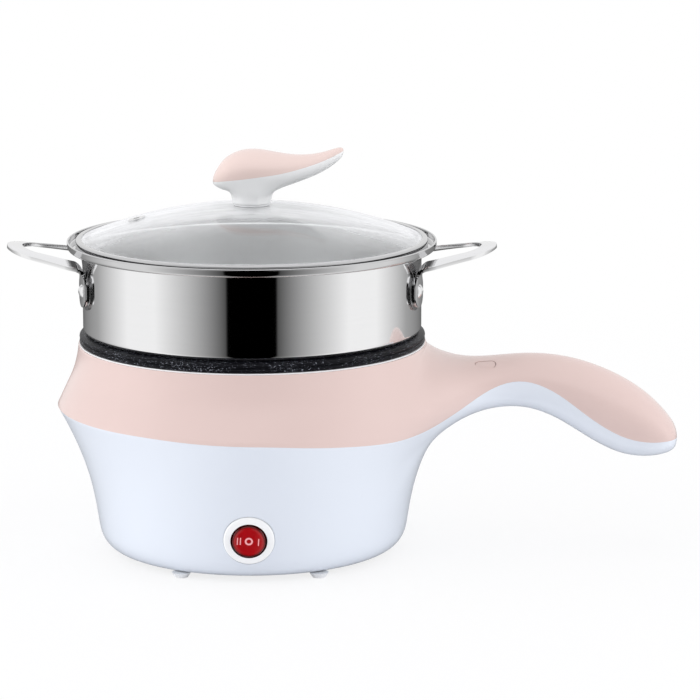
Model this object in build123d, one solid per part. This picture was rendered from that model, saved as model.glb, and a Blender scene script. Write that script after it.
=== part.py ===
"""Electric hot pot: side-handled base, steamer with loop handles and a domed glass lid.

Millimetres. +Z is up, +X points along the side handle and -Y is the front with the
switch. The origin is on the pot's own axis, in the plane that the feet stand on.
"""
import os
from math import asin, atan2, cos, degrees, radians, sin, sqrt, tan

from build123d import *

# ---------------------------------------------------------------- driving dimensions

# clearances
RUNNING_CLEARANCE = 0.05      # radial, round a screw shank or a rivet
SEAT_CLEARANCE = 0.15         # between pieces that lift apart
FIT_CLEARANCE = 0.3           # round a piece dropped into its pocket
CUT_MARGIN = 1.0              # how far a hole is cut past the faces it goes through

# the pot's nominal size, which its round pieces follow
BAND_RADIUS = 90.0            # outside of the steamer's band

# feet and base
FOOT_HEIGHT = 2.5
FOOT_RADIUS = 5.0
FOOT_SOLE_RADIUS = 3.4
FOOT_INSET = 8.2              # of the feet's centres from the base's outline
FOOT_ANGLE = 61.0             # from the X axis, in each quarter
BASE_TAPER = 7.8              # how much less than the band's radius the base has
BASE_CORNER = 5.0

# housing: white lower shell, pink upper shell, and the wall they share
WALL = 2.4
SEAM_Z = 78.0
SEAM_BULGE = 14.0             # how far the seam stands outside the band
NECK_LEDGE = 0.6              # how far the neck stands outside the pan's rim
HOUSING_TOP = 112.6
BASE_WALL_SLOPE = 0.04        # radius gained per height at the foot of the wall
SEAM_SLOPE_BELOW = 0.5        # the same, just under the seam
SEAM_SLOPE_ABOVE = -0.3       # and just over it
NECK_SLOPE = -0.06            # and at the neck
NECK_PULL = 1.6               # how long the wall keeps to the neck's slope
FLOOR_RING_WIDTH = 16.2       # from the base's outline to the opening in its floor
COVER_LEDGE = 4.0
PAD_REACH = 8.4               # how far a thickened mounting pad reaches in from the wall

# side handle: its end, its root inside the pot as (distance inside the seam, top, seam,
# underside, half width), and its sections outwards, whose first value is the share of
# the reach past the seam
HANDLE_REACH = 227.3
HANDLE_TIP_Z = 60.6
HANDLE_ROOT = (24.0, 109.5, 73.0, 46.0, 59.0)
HANDLE_SECTIONS = (
    (-0.110, 110.2, 73.0, 54.5, 48.5),
    (-0.030, 106.8, 75.3, 64.2, 37.5),
    (0.060, 103.6, 81.0, 71.6, 27.4),
    (0.150, 103.9, 88.6, 75.8, 20.5),
    (0.250, 105.2, 94.0, 77.9, 17.4),
    (0.355, 106.2, 94.5, 77.4, 16.8),
    (0.480, 105.3, 87.5, 71.5, 17.8),
    (0.610, 101.6, 74.2, 60.6, 19.4),
    (0.745, 94.6, 63.8, 51.6, 20.4),
    (0.860, 85.6, 60.8, 50.0, 20.0),
    (0.940, 75.6, 61.2, 51.6, 17.4),
    (0.983, 67.6, 61.6, 54.2, 11.6),
)
SEAM_FLAT_END = 18.0          # how far towards the handle the seam stays level
HANDLE_SCREW_REACH = (43.8, 91.9)  # of the two screws past the seam
HANDLE_BOSS_RADIUS = 4.2
HANDLE_SCREW_RADIUS = 1.5
HANDLE_SCREW_HEAD_RADIUS = 3.0
HANDLE_SCREW_HEAD_HEIGHT = 1.8
HANDLE_SCREW_SINK = 1.6       # of the heads, so that they clear the sloping underside
PLUG_LENGTH = 10.5            # oval blanking plug let into the front of the handle's top
PLUG_WIDTH = 5.6
PLUG_Y = -10.5
PLUG_DEPTH = 2.0
PLUG_GAP = 0.15
PLUG_REACH = 20.0             # past the seam

# cooking pan, cast aluminium
PAN_RIM_OVERHANG = 2.0        # how far the rim stands outside the steamer's band
PAN_BEAD = 2.5                # height of each of the two beads round the rim
PAN_WALL = 2.2
PAN_FLOOR = 3.0
PAN_SEAT_WIDTH = 5.2          # of the seat that carries the band
PAN_TAPER = 4.8               # how much narrower the pan is at its floor
PAN_CORNER = 15.0
PAN_BOTTOM_Z = 50.0
PAN_LAND = 0.9                # rise of the seat inside the beads
SEAL_THICKNESS = 0.7

# heater under the pan
PLATE_THICKNESS = 7.0
ELEMENT_RADIUS = 3.3
ELEMENT_CLEARANCE = 2.1       # between the element and the plate's bosses
ELEMENT_GAP_ANGLE = 40.0
ELEMENT_LEG = 11.0
ELEMENT_PIN_RADIUS = 1.1
ELEMENT_PIN_LENGTH = 4.0
THERMOSTAT_RADIUS = 8.0
THERMOSTAT_HEIGHT = 9.0
THERMOSTAT_EAR_PITCH = 24.0
THERMOSTAT_EAR_WIDTH = 7.0
THERMOSTAT_EAR_SHEET = 1.0
THERMOSTAT_TAB = (0.8, 6.3, 5.0)
THERMOSTAT_TAB_PITCH = 10.0
HEATER_SCREW_RADIUS = 1.5
HEATER_SCREW_BITE = 4.0       # how far a screw goes into the plate
HEATER_SCREW_HEAD_RADIUS = 2.8
HEATER_SCREW_HEAD_HEIGHT = 2.0
FUSE_RADIUS = 2.0
FUSE_LENGTH = 12.0
FUSE_Y = 24.0
FUSE_WIRE_RADIUS = 0.5
FUSE_WIRE_SPAN = 28.8
CLIP_SHEET = 0.7
CLIP_WIDTH = 6.0
CLIP_SCREW_OFFSET = 4.5
SHIELD_SHEET = 0.6
SHIELD_Z = 23.0
SHIELD_LIP = 6.0
SHIELD_FLARE = 2.0
SHIELD_BEND = 2.0

# bottom cover and the screws that clamp the whole base together
COVER_THICKNESS = 2.4
POST_INSET = 8.0              # of the posts from the opening in the floor
POST_RADIUS = 6.0
POST_NECK_RADIUS = 4.6
POST_COUNT = 3
PLATE_BOSS_HEIGHT = 6.0
CLAMP_SCREW_RADIUS = 2.0
CLAMP_HEAD_RADIUS = 3.8
CLAMP_HEAD_HEIGHT = 2.6
CLAMP_HEAD_SINK = 1.0
VENT_COUNT = 7
VENT_WIDTH = 2.4
VENT_LENGTH = 34.0
VENT_PITCH = 6.5

# round three-position rocker switch in the front
SWITCH_Z = 24.3
BEZEL_RADIUS = 13.2
BEZEL_THICKNESS = 2.4
BEZEL_STAND = 1.0             # how far its face stands off the wall
BEZEL_RECESS_MARGIN = 0.5
SWITCH_BARREL_RADIUS = 11.4
SWITCH_BARREL_DEPTH = 13.5
ROCKER_RADIUS = 9.0           # ball that its sides are part of
ROCKER_BORE = 9.4
ROCKER_FACE_RISE = 3.0        # from the pivot to the rims of the face
ROCKER_STAND = 1.2            # how far those rims stand off the bezel's face
ROCKER_FACE_HOLLOW = 34.0     # radius of its dished face
ROCKER_TAIL = 4.0
ROCKER_WELL_GAP = 2.4
TERMINAL_SPACING = 6.5
TERMINAL_WIDTH = 4.8
TERMINAL_THICKNESS = 0.8
TERMINAL_LENGTH = 6.0

# appliance inlet in the back
INLET_Z = 30.0
INLET_FLANGE = (31.0, 24.0)
INLET_BODY = (27.0, 20.0)
INLET_SOCKET = (24.0, 16.6)
INLET_FLANGE_THICKNESS = 2.4
INLET_BODY_DEPTH = 21.0
INLET_SOCKET_DEPTH = 17.0
INLET_CHAMFER = 4.0
INLET_FLANGE_CORNER = 2.0
INLET_BODY_CORNER = 1.0
PIN_LENGTH = 12.0
PIN_SIZE = (2.0, 4.0)
PIN_SPACING = 7.0
PIN_TAIL = 6.0

# steamer, drawn from steel sheet
STEEL = 0.8
RIM_OVERHANG = 8.0            # how far the rim stands outside the band
STEAMER_RISE = 48.8           # from the pan's seat to the top of the rim
LIP_RISE = 4.1                # of the rim's lip over the ledge that carries the lid
LIP_BEND = 1.5
STEP_BEND = 2.6
NECK_DEPTH = 8.0
STEAMER_NECK_GAP = 1.2
ROLL_RADIUS = 0.5             # of the rolled edge on the lip
STEAM_HOLE_RADIUS = 2.6
STEAM_HOLE_PITCH = 15.5
STEAM_HOLE_RINGS = 4
STEAM_HOLES_IN_FIRST_RING = 6

# loop handles of the steamer
LOOP_THICKNESS = 2.0
LOOP_TILT = 12.0
LOOP_PROJECTION = 40.0        # from the band to the tip
LOOP_TIP_RISE = 46.4          # of the tip's top over the pan's seat
LOOP_TIP_HALF_WIDTH = 15.5    # where its outer edges would meet the tip without the rounding
LOOP_TAPER = 0.41             # how much each side widens per millimetre towards the pot
LOOP_BAR_WIDTH = 7.4
LOOP_CORNER = 13.0
PAD_WIDTH = 12.6
PAD_Y = 27.5
PAD_RISE = 16.8               # of the pad's foot over the pan's seat
PAD_SHOULDER = 12.5           # from its foot to where it starts to narrow to its leg
PAD_NECK = 16.9               # and to where it has
BRACKET_THICKNESS = 0.9
BRACKET_MARGIN = 1.6
BRACKET_LEG_WIDTH = 7.0
BRACKET_TOP_WIDTH = 24.0
BRACKET_HEIGHT = 24.6         # from the pad's foot to the bracket's top
RIVET_RISE = 8.6              # from the pad's foot
RIVET_HEAD_RADIUS = 3.8
RIVET_HEAD_HEIGHT = 2.4
RIVET_SHANK_RADIUS = 2.0
RIVET_TAIL_RADIUS = 3.4
RIVET_TAIL_HEIGHT = 1.0

# lid
GLASS_SPHERE = 239.0
GLASS_THICKNESS = 2.8
GLASS_EDGE_GAP = 0.8          # between the glass and the hoop round it
HOOP_OVERHANG = 3.4           # how far the hoop stands outside the band
HOOP_SHEET = 0.6
HOOP_HEM = 1.2                # its lower lip is folded double
HOOP_LIP = 3.0                # width of the hoop seen from above
GLASS_HOLE_RADIUS = 3.6
VENT_INSET = 29.4             # of the vent from the hoop's inner edge, towards the knob
VENT_HOLE_RADIUS = 3.2
EYELET_FLANGE_RADIUS = 4.6
EYELET_BORE_RADIUS = 1.7
EYELET_FLANGE_THICKNESS = 0.7

# knob: sections from tail to beak as (x, top over the glass, seam, underside, half width)
KNOB_TAIL = (-20.6, 11.5)
KNOB_BEAK = (48.6, 27.6)
KNOB_SECTIONS = (
    (-19.2, 16.4, 11.9, 9.0, 6.2),
    (-16.2, 21.6, 12.6, 7.4, 9.6),
    (-11.0, 26.2, 13.5, 6.3, 12.6),
    (-3.0, 29.0, 14.6, 5.8, 14.4),
    (6.0, 28.7, 15.8, 6.2, 14.2),
    (15.0, 26.6, 16.8, 7.9, 12.4),
    (24.0, 25.4, 18.7, 11.0, 10.2),
    (33.0, 25.9, 21.3, 14.4, 8.2),
    (40.0, 27.6, 23.8, 18.0, 6.4),
    (45.2, 29.3, 26.3, 21.8, 4.6),
    (47.8, 29.2, 27.3, 25.2, 2.3),
)
STEM_RADIUS = 10.3
STEM_TOP_RADIUS = 12.0
STEM_HEIGHT = 9.5
KNOB_SCREW_RADIUS = 2.5
KNOB_SCREW_HEAD_RADIUS = 4.5
KNOB_SCREW_HEAD_HEIGHT = 2.6
KNOB_SCREW_BITE = 10.0
WASHER_RADIUS = 8.0
WASHER_THICKNESS = 1.0
GASKET_RADIUS = 9.4
GASKET_THICKNESS = 1.0

# ---------------------------------------------------------------- derived places

BASE_RADIUS = BAND_RADIUS - BASE_TAPER
SEAM_RADIUS = BAND_RADIUS + SEAM_BULGE
PAN_RIM_RADIUS = BAND_RADIUS + PAN_RIM_OVERHANG
PAN_MOUTH_RADIUS = BAND_RADIUS - PAN_SEAT_WIDTH
PAN_FLOOR_RADIUS = PAN_MOUTH_RADIUS - PAN_TAPER
NECK_RADIUS = PAN_RIM_RADIUS + NECK_LEDGE
STEAMER_RIM_RADIUS = BAND_RADIUS + RIM_OVERHANG
LOOP_REACH = BAND_RADIUS + LOOP_PROJECTION
HOOP_RADIUS = BAND_RADIUS + HOOP_OVERHANG
HOOP_INNER_RADIUS = HOOP_RADIUS - HOOP_LIP
GLASS_RADIUS = HOOP_RADIUS - HOOP_SHEET - GLASS_EDGE_GAP
FOOT_CIRCLE = BASE_RADIUS - FOOT_INSET
FLOOR_RING_RADIUS = BASE_RADIUS - FLOOR_RING_WIDTH
POST_CIRCLE = FLOOR_RING_RADIUS - POST_RADIUS - POST_INSET
PLATE_RADIUS = POST_CIRCLE + POST_RADIUS
SHIELD_RADIUS = PLATE_RADIUS
ELEMENT_CIRCLE = POST_CIRCLE - POST_NECK_RADIUS - ELEMENT_RADIUS - ELEMENT_CLEARANCE
HANDLE_LENGTH = HANDLE_REACH - SEAM_RADIUS
ROOT_X = SEAM_RADIUS - HANDLE_ROOT[0]
PLUG_X = SEAM_RADIUS + PLUG_REACH
RIM_Z = HOUSING_TOP + SEAL_THICKNESS
PAN_TOP_Z = RIM_Z + 2 * PAN_BEAD
LAND_Z = PAN_TOP_Z + PAN_LAND
PLATE_Z = PAN_BOTTOM_Z - PLATE_THICKNESS
STEP_Z = LAND_Z + SEAT_CLEARANCE + STEEL / 2
STEAMER_TOP = LAND_Z + STEAMER_RISE
LOOP_TIP_Z = LAND_Z + LOOP_TIP_RISE
PAD_BOTTOM_Z = LAND_Z + PAD_RISE
PAD_SHOULDER_Z = PAD_BOTTOM_Z + PAD_SHOULDER
PAD_NECK_Z = PAD_BOTTOM_Z + PAD_NECK
BRACKET_TOP_Z = PAD_BOTTOM_Z + BRACKET_HEIGHT
RIVET_Z = PAD_BOTTOM_Z + RIVET_RISE
VENT_HOLE_X = VENT_INSET - HOOP_INNER_RADIUS
LEDGE_Z = STEAMER_TOP - LIP_RISE
BAND_MID_RADIUS = BAND_RADIUS - STEEL / 2
LIP_MID_RADIUS = STEAMER_RIM_RADIUS - ROLL_RADIUS
HOOP_BOTTOM_Z = LEDGE_Z + STEEL / 2 + SEAT_CLEARANCE
GLASS_SEAT_Z = HOOP_BOTTOM_Z + HOOP_HEM
GLASS_RIM_DROP = GLASS_SPHERE - sqrt(GLASS_SPHERE**2 - HOOP_INNER_RADIUS**2)
GLASS_TOP_Z = GLASS_SEAT_Z + GLASS_THICKNESS + GLASS_RIM_DROP
KNOB_Z = GLASS_TOP_Z + GASKET_THICKNESS

UPWARD = (Align.CENTER, Align.CENTER, Align.MIN)
DOWNWARD = (Align.CENTER, Align.CENTER, Align.MAX)
PARTS = {}


def keep(name, shape):
    """Store a finished piece under the name of its file."""
    PARTS[name] = shape
    return shape


# ---------------------------------------------------------------- helpers


def turned(profile):
    """Solid of revolution about +Z of a profile drawn as (radius, height)."""
    return revolve(Plane.XZ * profile, Axis.Z)


def ring(outer, inner, low, high):
    """Plain ring between two radii and two heights."""
    size = high - low
    solid = Pos(0, 0, low) * Cylinder(outer, size, align=UPWARD)
    if inner > 0:
        solid -= Pos(0, 0, low) * Cylinder(inner, size, align=UPWARD)
    return solid


def pillar(x, y, low, high, radius):
    """Upright cylinder at a place in plan."""
    return Pos(x, y, 0) * ring(radius, 0, low, high)


def cross_recess(x, y, foot, head_radius):
    """Cross-shaped drive cut upwards into a screw head, two thirds of its width."""
    size = head_radius * 4 / 3
    blade = Box(size, size / 5, size / 2) + Box(size / 5, size, size / 2)
    return Pos(x, y, foot) * blade


def sphere_drop(sphere, radius):
    """How far a sphere or a round wall falls away at a distance from its crown."""
    return sphere - sqrt(sphere**2 - radius**2)


def section_plane(x, z):
    """Plane across the X axis, its own x along +Y and its own y along +Z."""
    return Plane(origin=(x, 0, z), x_dir=(0, 1, 0), z_dir=(1, 0, 0))


def oval(x, top, bottom, half_width, inset=0):
    """Elliptical section across X, drawn in by an inset."""
    shape = Ellipse(half_width - inset, (top - bottom) / 2 - inset)
    return section_plane(x, (top + bottom) / 2) * shape


def below(curve_points, start_x, end_x, depth, half_width):
    """Solid under a seam curve that runs along X, as deep in Y as half_width each way."""
    seam = Spline(*curve_points)
    first, last = seam @ 0, seam @ 1
    outline = [
        Line((start_x, first.Y), (first.X, first.Y)),
        seam,
        Line((last.X, last.Y), (end_x, last.Y)),
        Line((end_x, last.Y), (end_x, depth)),
        Line((end_x, depth), (start_x, depth)),
        Line((start_x, depth), (start_x, first.Y)),
    ]
    return extrude(Plane.XZ * make_face(outline), half_width, both=True)


# ---------------------------------------------------------------- housing shells


def lower_wall(inset):
    """Wall curve from the base corner to the seam."""
    start = (BASE_RADIUS - inset, FOOT_HEIGHT + BASE_CORNER)
    end = (SEAM_RADIUS - inset, SEAM_Z)
    return Spline(start, end, tangents=((BASE_WALL_SLOPE, 1), (SEAM_SLOPE_BELOW, 1)), tangent_scalars=(1, 1))


def upper_wall(inset):
    """Wall curve from the seam to the neck."""
    start = (SEAM_RADIUS - inset, SEAM_Z)
    end = (NECK_RADIUS - inset, HOUSING_TOP)
    pull = (1, NECK_PULL)
    return Spline(start, end, tangents=((SEAM_SLOPE_ABOVE, 1), (NECK_SLOPE, 1)), tangent_scalars=pull)


def wall_radius(height):
    """Outer radius of the lower shell at a height."""
    wall = lower_wall(0)
    low, high = 0.0, 1.0
    while high - low > 1e-6:
        middle = (low + high) / 2
        if (wall @ middle).Y < height:
            low = middle
        else:
            high = middle
    return (wall @ low).X


def wall_tilt(height):
    """Angle by which the lower shell's wall faces downwards at a height."""
    step = 1.0
    return degrees(atan2(wall_radius(height + step) - wall_radius(height - step), 2 * step))


def body_of_revolution(inset, floor, lid):
    """Round part of the housing: its outside, or with an inset its hollow."""
    foot = FOOT_HEIGHT + floor
    corner_top = FOOT_HEIGHT + BASE_CORNER
    corner = BASE_CORNER - floor
    wall_foot = BASE_RADIUS - inset
    neck = NECK_RADIUS - inset
    outline = [
        Line((0, foot), (wall_foot - corner, foot)),
        RadiusArc((wall_foot - corner, foot), (wall_foot, corner_top), -corner),
        lower_wall(inset),
        upper_wall(inset),
        Line((neck, HOUSING_TOP), (0, HOUSING_TOP)),
        Line((0, HOUSING_TOP), (0, foot)),
    ]
    solid = turned(make_face(outline))
    if lid > 0:
        solid -= ring(SEAM_RADIUS, 0, HOUSING_TOP - lid, HOUSING_TOP)
    return solid


def handle_x(share):
    """Place along X of a handle section."""
    return SEAM_RADIUS + share * HANDLE_LENGTH


def handle_body(inset):
    """Side handle, solid, or with an inset its hollow."""
    _, top, _, bottom, half_width = HANDLE_ROOT
    sections = [oval(ROOT_X, top, bottom, half_width, inset)]
    last = len(HANDLE_SECTIONS) - (1 if inset else 0)
    for share, top, _, bottom, half_width in HANDLE_SECTIONS[:last]:
        sections.append(oval(handle_x(share), top, bottom, half_width, inset))
    if not inset:
        sections.append(Vertex(HANDLE_REACH, 0, HANDLE_TIP_Z))
    return loft(sections)


def handle_heights(x):
    """Top and underside of the side handle at a place along X, between its sections."""
    for near, far in zip(HANDLE_SECTIONS, HANDLE_SECTIONS[1:]):
        start, end = handle_x(near[0]), handle_x(far[0])
        if start <= x <= end:
            part = (x - start) / (end - start)
            return near[1] + part * (far[1] - near[1]), near[3] + part * (far[3] - near[3])
    raise ValueError("that place is not on the handle")


def seam_points():
    """Points of the joint line between the two shells, seen from the side."""
    middle = (SEAM_FLAT_END + ROOT_X) / 2
    points = [
        (-SEAM_RADIUS, SEAM_Z),
        (-SEAM_RADIUS / 2, SEAM_Z),
        (0, SEAM_Z),
        (SEAM_FLAT_END, SEAM_Z),
        (middle, (SEAM_Z + HANDLE_ROOT[2]) / 2),
        (ROOT_X, HANDLE_ROOT[2]),
    ]
    for share, _, seam, _, _ in HANDLE_SECTIONS:
        points.append((handle_x(share), seam))
    return points


round_outside = body_of_revolution(0, 0, 0)
handle = handle_body(0)
outside = round_outside + handle
hollow = body_of_revolution(WALL, WALL, WALL) + handle_body(WALL)
pan_opening_radius = PAN_MOUTH_RADIUS + PAN_WALL + FIT_CLEARANCE
pan_opening = ring(pan_opening_radius, 0, SEAM_Z, HOUSING_TOP + WALL)
rim_space = ring(PAN_RIM_RADIUS + FIT_CLEARANCE, 0, HOUSING_TOP, HOUSING_TOP + 2 * WALL)
shell = outside - [hollow, pan_opening, rim_space]
under_seam = below(seam_points(), -2 * SEAM_RADIUS, HANDLE_REACH + WALL, -FOOT_HEIGHT, 2 * SEAM_RADIUS)
lower_added = []
lower_cuts = []
upper_added = []
upper_cuts = []

# screw bosses and screws of the handle
screws = []
for reach in HANDLE_SCREW_REACH:
    x = SEAM_RADIUS + reach
    top, bottom = handle_heights(x)
    column = pillar(x, 0, bottom - WALL, top + WALL, HANDLE_BOSS_RADIUS) & handle
    lower_added.append(column & under_seam)
    upper_added.append(column - under_seam)
    head_z = bottom + WALL + HANDLE_SCREW_SINK
    tip_z = top - WALL - HANDLE_SCREW_RADIUS
    bore = HANDLE_SCREW_RADIUS + RUNNING_CLEARANCE
    lower_cuts.append(pillar(x, 0, bottom - WALL, head_z, HANDLE_SCREW_HEAD_RADIUS + FIT_CLEARANCE))
    lower_cuts.append(pillar(x, 0, bottom, top, bore))
    upper_cuts.append(pillar(x, 0, bottom, tip_z, bore))
    shank = pillar(x, 0, head_z, tip_z - SEAT_CLEARANCE, HANDLE_SCREW_RADIUS)
    head_bottom = head_z - HANDLE_SCREW_HEAD_HEIGHT
    head = pillar(x, 0, head_bottom, head_z, HANDLE_SCREW_HEAD_RADIUS)
    screws.append(head + shank - cross_recess(x, 0, head_bottom, HANDLE_SCREW_HEAD_RADIUS))
keep("handle_screws", Compound(children=screws))

# oval blanking plug in the handle's top
plug_column = extrude(Pos(PLUG_X, PLUG_Y, SEAM_Z) * SlotOverall(PLUG_LENGTH, PLUG_WIDTH), SEAM_Z)
grown = SlotOverall(PLUG_LENGTH + 2 * PLUG_GAP, PLUG_WIDTH + 2 * PLUG_GAP)
upper_cuts.append(extrude(Pos(PLUG_X, PLUG_Y, SEAM_Z) * grown, SEAM_Z))
keep("handle_plug", (plug_column & handle) - Pos(0, 0, -PLUG_DEPTH) * handle)

# opening in the floor, with the rebate that the bottom cover is drawn up against
cover_top = FOOT_HEIGHT + COVER_THICKNESS
cover_radius = FLOOR_RING_RADIUS + COVER_LEDGE
lower_added.append(ring(BASE_RADIUS - BASE_CORNER, FLOOR_RING_RADIUS, cover_top, cover_top + WALL))
lower_cuts.append(ring(FLOOR_RING_RADIUS, 0, 0, cover_top + WALL))
lower_cuts.append(ring(cover_radius + FIT_CLEARANCE, 0, 0, cover_top))


def wall_band(height):
    """Outermost band of the round housing, which a mounting pad may fill."""
    return round_outside - ring(wall_radius(height) - PAD_REACH, 0, 0, SEAM_Z)


# ---------------------------------------------------------------- switch

switch_tilt = wall_tilt(SWITCH_Z)
switch_face = Plane(
    origin=(0, -wall_radius(SWITCH_Z), SWITCH_Z),
    x_dir=(1, 0, 0),
    z_dir=(0, -cos(radians(switch_tilt)), -sin(radians(switch_tilt))),
)


def on_switch(depth, shape):
    """Place a shape in the switch's own frame, at a depth behind the wall's surface."""
    return switch_face * Pos(0, 0, -depth) * shape


def switch_disc(radius, front, back):
    """Cylinder on the switch's axis between two depths."""
    size = back - front
    return on_switch(back, Cylinder(radius, size, align=UPWARD))


bezel_back = BEZEL_THICKNESS - BEZEL_STAND
barrel_end = bezel_back + SWITCH_BARREL_DEPTH
recess_radius = BEZEL_RADIUS + BEZEL_RECESS_MARGIN
seat_pad = switch_disc(recess_radius + WALL, 0, bezel_back + WALL)
lower_added.append(seat_pad & wall_band(SWITCH_Z))
lower_cuts.append(switch_disc(recess_radius, -WALL, bezel_back))
lower_cuts.append(switch_disc(SWITCH_BARREL_RADIUS + FIT_CLEARANCE, -WALL, barrel_end))

pivot_depth = -BEZEL_STAND + ROCKER_FACE_RISE - ROCKER_STAND
switch_body = switch_disc(BEZEL_RADIUS, -BEZEL_STAND, bezel_back)
switch_axis = Axis(switch_face.origin, switch_face.z_dir)
switch_body = fillet(switch_body.edges().sort_by(switch_axis)[-1], BEZEL_STAND)
switch_body += switch_disc(SWITCH_BARREL_RADIUS, bezel_back, barrel_end)
rocker_well = pivot_depth + ROCKER_TAIL + ROCKER_WELL_GAP
switch_body -= switch_disc(ROCKER_BORE, -WALL, rocker_well)
keep("switch_body", switch_body)

ball = on_switch(pivot_depth, Sphere(ROCKER_RADIUS))
slab = switch_disc(ROCKER_RADIUS, pivot_depth - ROCKER_FACE_RISE, pivot_depth + ROCKER_TAIL)
dish_depth = pivot_depth - ROCKER_FACE_RISE - sqrt(ROCKER_FACE_HOLLOW**2 - ROCKER_RADIUS**2)
dish = on_switch(dish_depth, Rot(90, 0, 0) * Cylinder(ROCKER_FACE_HOLLOW, 4 * ROCKER_RADIUS))
keep("rocker", (ball & slab) - dish)

blades = []
for place in (-1, 0, 1):
    blade = Box(TERMINAL_WIDTH, TERMINAL_THICKNESS, TERMINAL_LENGTH)
    blades.append(on_switch(barrel_end + TERMINAL_LENGTH / 2, Pos(0, place * TERMINAL_SPACING, 0) * blade))
keep("switch_terminals", Compound(children=blades))

# ---------------------------------------------------------------- appliance inlet

inlet_tilt = wall_tilt(INLET_Z)
inlet_face = Plane(
    origin=(0, wall_radius(INLET_Z), INLET_Z),
    x_dir=(-1, 0, 0),
    z_dir=(0, cos(radians(inlet_tilt)), -sin(radians(inlet_tilt))),
)


def inlet_block(size, front, back, rounding):
    """Rectangular block on the inlet's axis between two depths."""
    face = RectangleRounded(size[0], size[1], rounding)
    return inlet_face * Pos(0, 0, -back) * extrude(face, back - front)


inlet_recess = INLET_FLANGE_THICKNESS / 2
grown_flange = (INLET_FLANGE[0] + 2 * FIT_CLEARANCE, INLET_FLANGE[1] + 2 * FIT_CLEARANCE)
grown_body = (INLET_BODY[0] + 2 * FIT_CLEARANCE, INLET_BODY[1] + 2 * FIT_CLEARANCE)
pad_size = (grown_flange[0] + 2 * WALL, grown_flange[1] + 2 * WALL)
pad_depth = inlet_recess + WALL + sphere_drop(wall_radius(INLET_Z), INLET_BODY[0] / 2)
inlet_pad = inlet_block(pad_size, 0, pad_depth, INLET_FLANGE_CORNER)
lower_added.append(inlet_pad & wall_band(INLET_Z))
lower_cuts.append(inlet_block(grown_flange, -WALL, inlet_recess, INLET_FLANGE_CORNER))
lower_cuts.append(inlet_block(grown_body, -WALL, INLET_BODY_DEPTH, INLET_BODY_CORNER))

inlet_front = inlet_recess - INLET_FLANGE_THICKNESS
socket_end = inlet_front + INLET_SOCKET_DEPTH
inlet_end = inlet_front + INLET_BODY_DEPTH
inlet = inlet_block(INLET_FLANGE, inlet_front, inlet_recess, INLET_FLANGE_CORNER)
inlet += inlet_block(INLET_BODY, inlet_recess, inlet_end, INLET_BODY_CORNER)
socket = chamfer(Rectangle(*INLET_SOCKET).vertices().group_by(Axis.Y)[0], INLET_CHAMFER)
inlet -= inlet_face * Pos(0, 0, -socket_end) * extrude(socket, INLET_SOCKET_DEPTH + WALL)
pins = []
for place in (-1, 0, 1):
    pin_length = PIN_LENGTH + (inlet_end - socket_end) + PIN_TAIL
    pin_middle = socket_end - PIN_LENGTH + pin_length / 2
    rise = PIN_SIZE[1] / 2 if place == 0 else -PIN_SIZE[1] / 2
    pin = Pos(place * PIN_SPACING, rise, 0) * Box(PIN_SIZE[0], PIN_SIZE[1], pin_length)
    pins.append(inlet_face * Pos(0, 0, -pin_middle) * pin)
for pin in pins:
    inlet -= pin
keep("power_inlet", inlet)
keep("inlet_pins", Compound(children=pins))

keep("lower_housing", (shell & under_seam) + lower_added - lower_cuts)
keep("upper_housing", (shell - under_seam) + upper_added - upper_cuts)

# ---------------------------------------------------------------- feet and bottom cover

feet = []
for quarter in (FOOT_ANGLE, 180 - FOOT_ANGLE, 180 + FOOT_ANGLE, -FOOT_ANGLE):
    place = Pos(FOOT_CIRCLE * cos(radians(quarter)), FOOT_CIRCLE * sin(radians(quarter)), 0)
    foot = Cone(FOOT_SOLE_RADIUS, FOOT_RADIUS, FOOT_HEIGHT, align=UPWARD)
    feet.append(place * foot)
keep("feet", Compound(children=feet))

post_top = PLATE_Z - PLATE_BOSS_HEIGHT
head_seat = FOOT_HEIGHT + CLAMP_HEAD_HEIGHT + CLAMP_HEAD_SINK
screw_top = PLATE_Z + PLATE_THICKNESS / 2
clamp_bore = CLAMP_SCREW_RADIUS + RUNNING_CLEARANCE
post_places = PolarLocations(POST_CIRCLE, POST_COUNT, start_angle=90).locations
posts = []
cover_cuts = []
clamp_screws = []
for place in post_places:
    posts.append(place * ring(POST_RADIUS, 0, FOOT_HEIGHT, SHIELD_Z))
    posts.append(place * ring(POST_NECK_RADIUS, 0, SHIELD_Z, post_top))
    cover_cuts.append(place * ring(clamp_bore, 0, 0, post_top))
    cover_cuts.append(place * ring(CLAMP_HEAD_RADIUS + FIT_CLEARANCE, 0, 0, head_seat))
    head = ring(CLAMP_HEAD_RADIUS, 0, head_seat - CLAMP_HEAD_HEIGHT, head_seat)
    shank = ring(CLAMP_SCREW_RADIUS, 0, head_seat, screw_top)
    recess = cross_recess(0, 0, head_seat - CLAMP_HEAD_HEIGHT, CLAMP_HEAD_RADIUS)
    clamp_screws.append(place * (head + shank - recess))
for index in range(VENT_COUNT):
    y = (index - (VENT_COUNT - 1) / 2) * VENT_PITCH
    cover_cuts.append(Pos(0, y, FOOT_HEIGHT) * extrude(SlotOverall(VENT_LENGTH, VENT_WIDTH), COVER_THICKNESS))
keep("bottom_cover", ring(cover_radius, 0, FOOT_HEIGHT, cover_top) + posts - cover_cuts)
keep("clamp_screws", Compound(children=clamp_screws))

# ---------------------------------------------------------------- pan and heater


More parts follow.
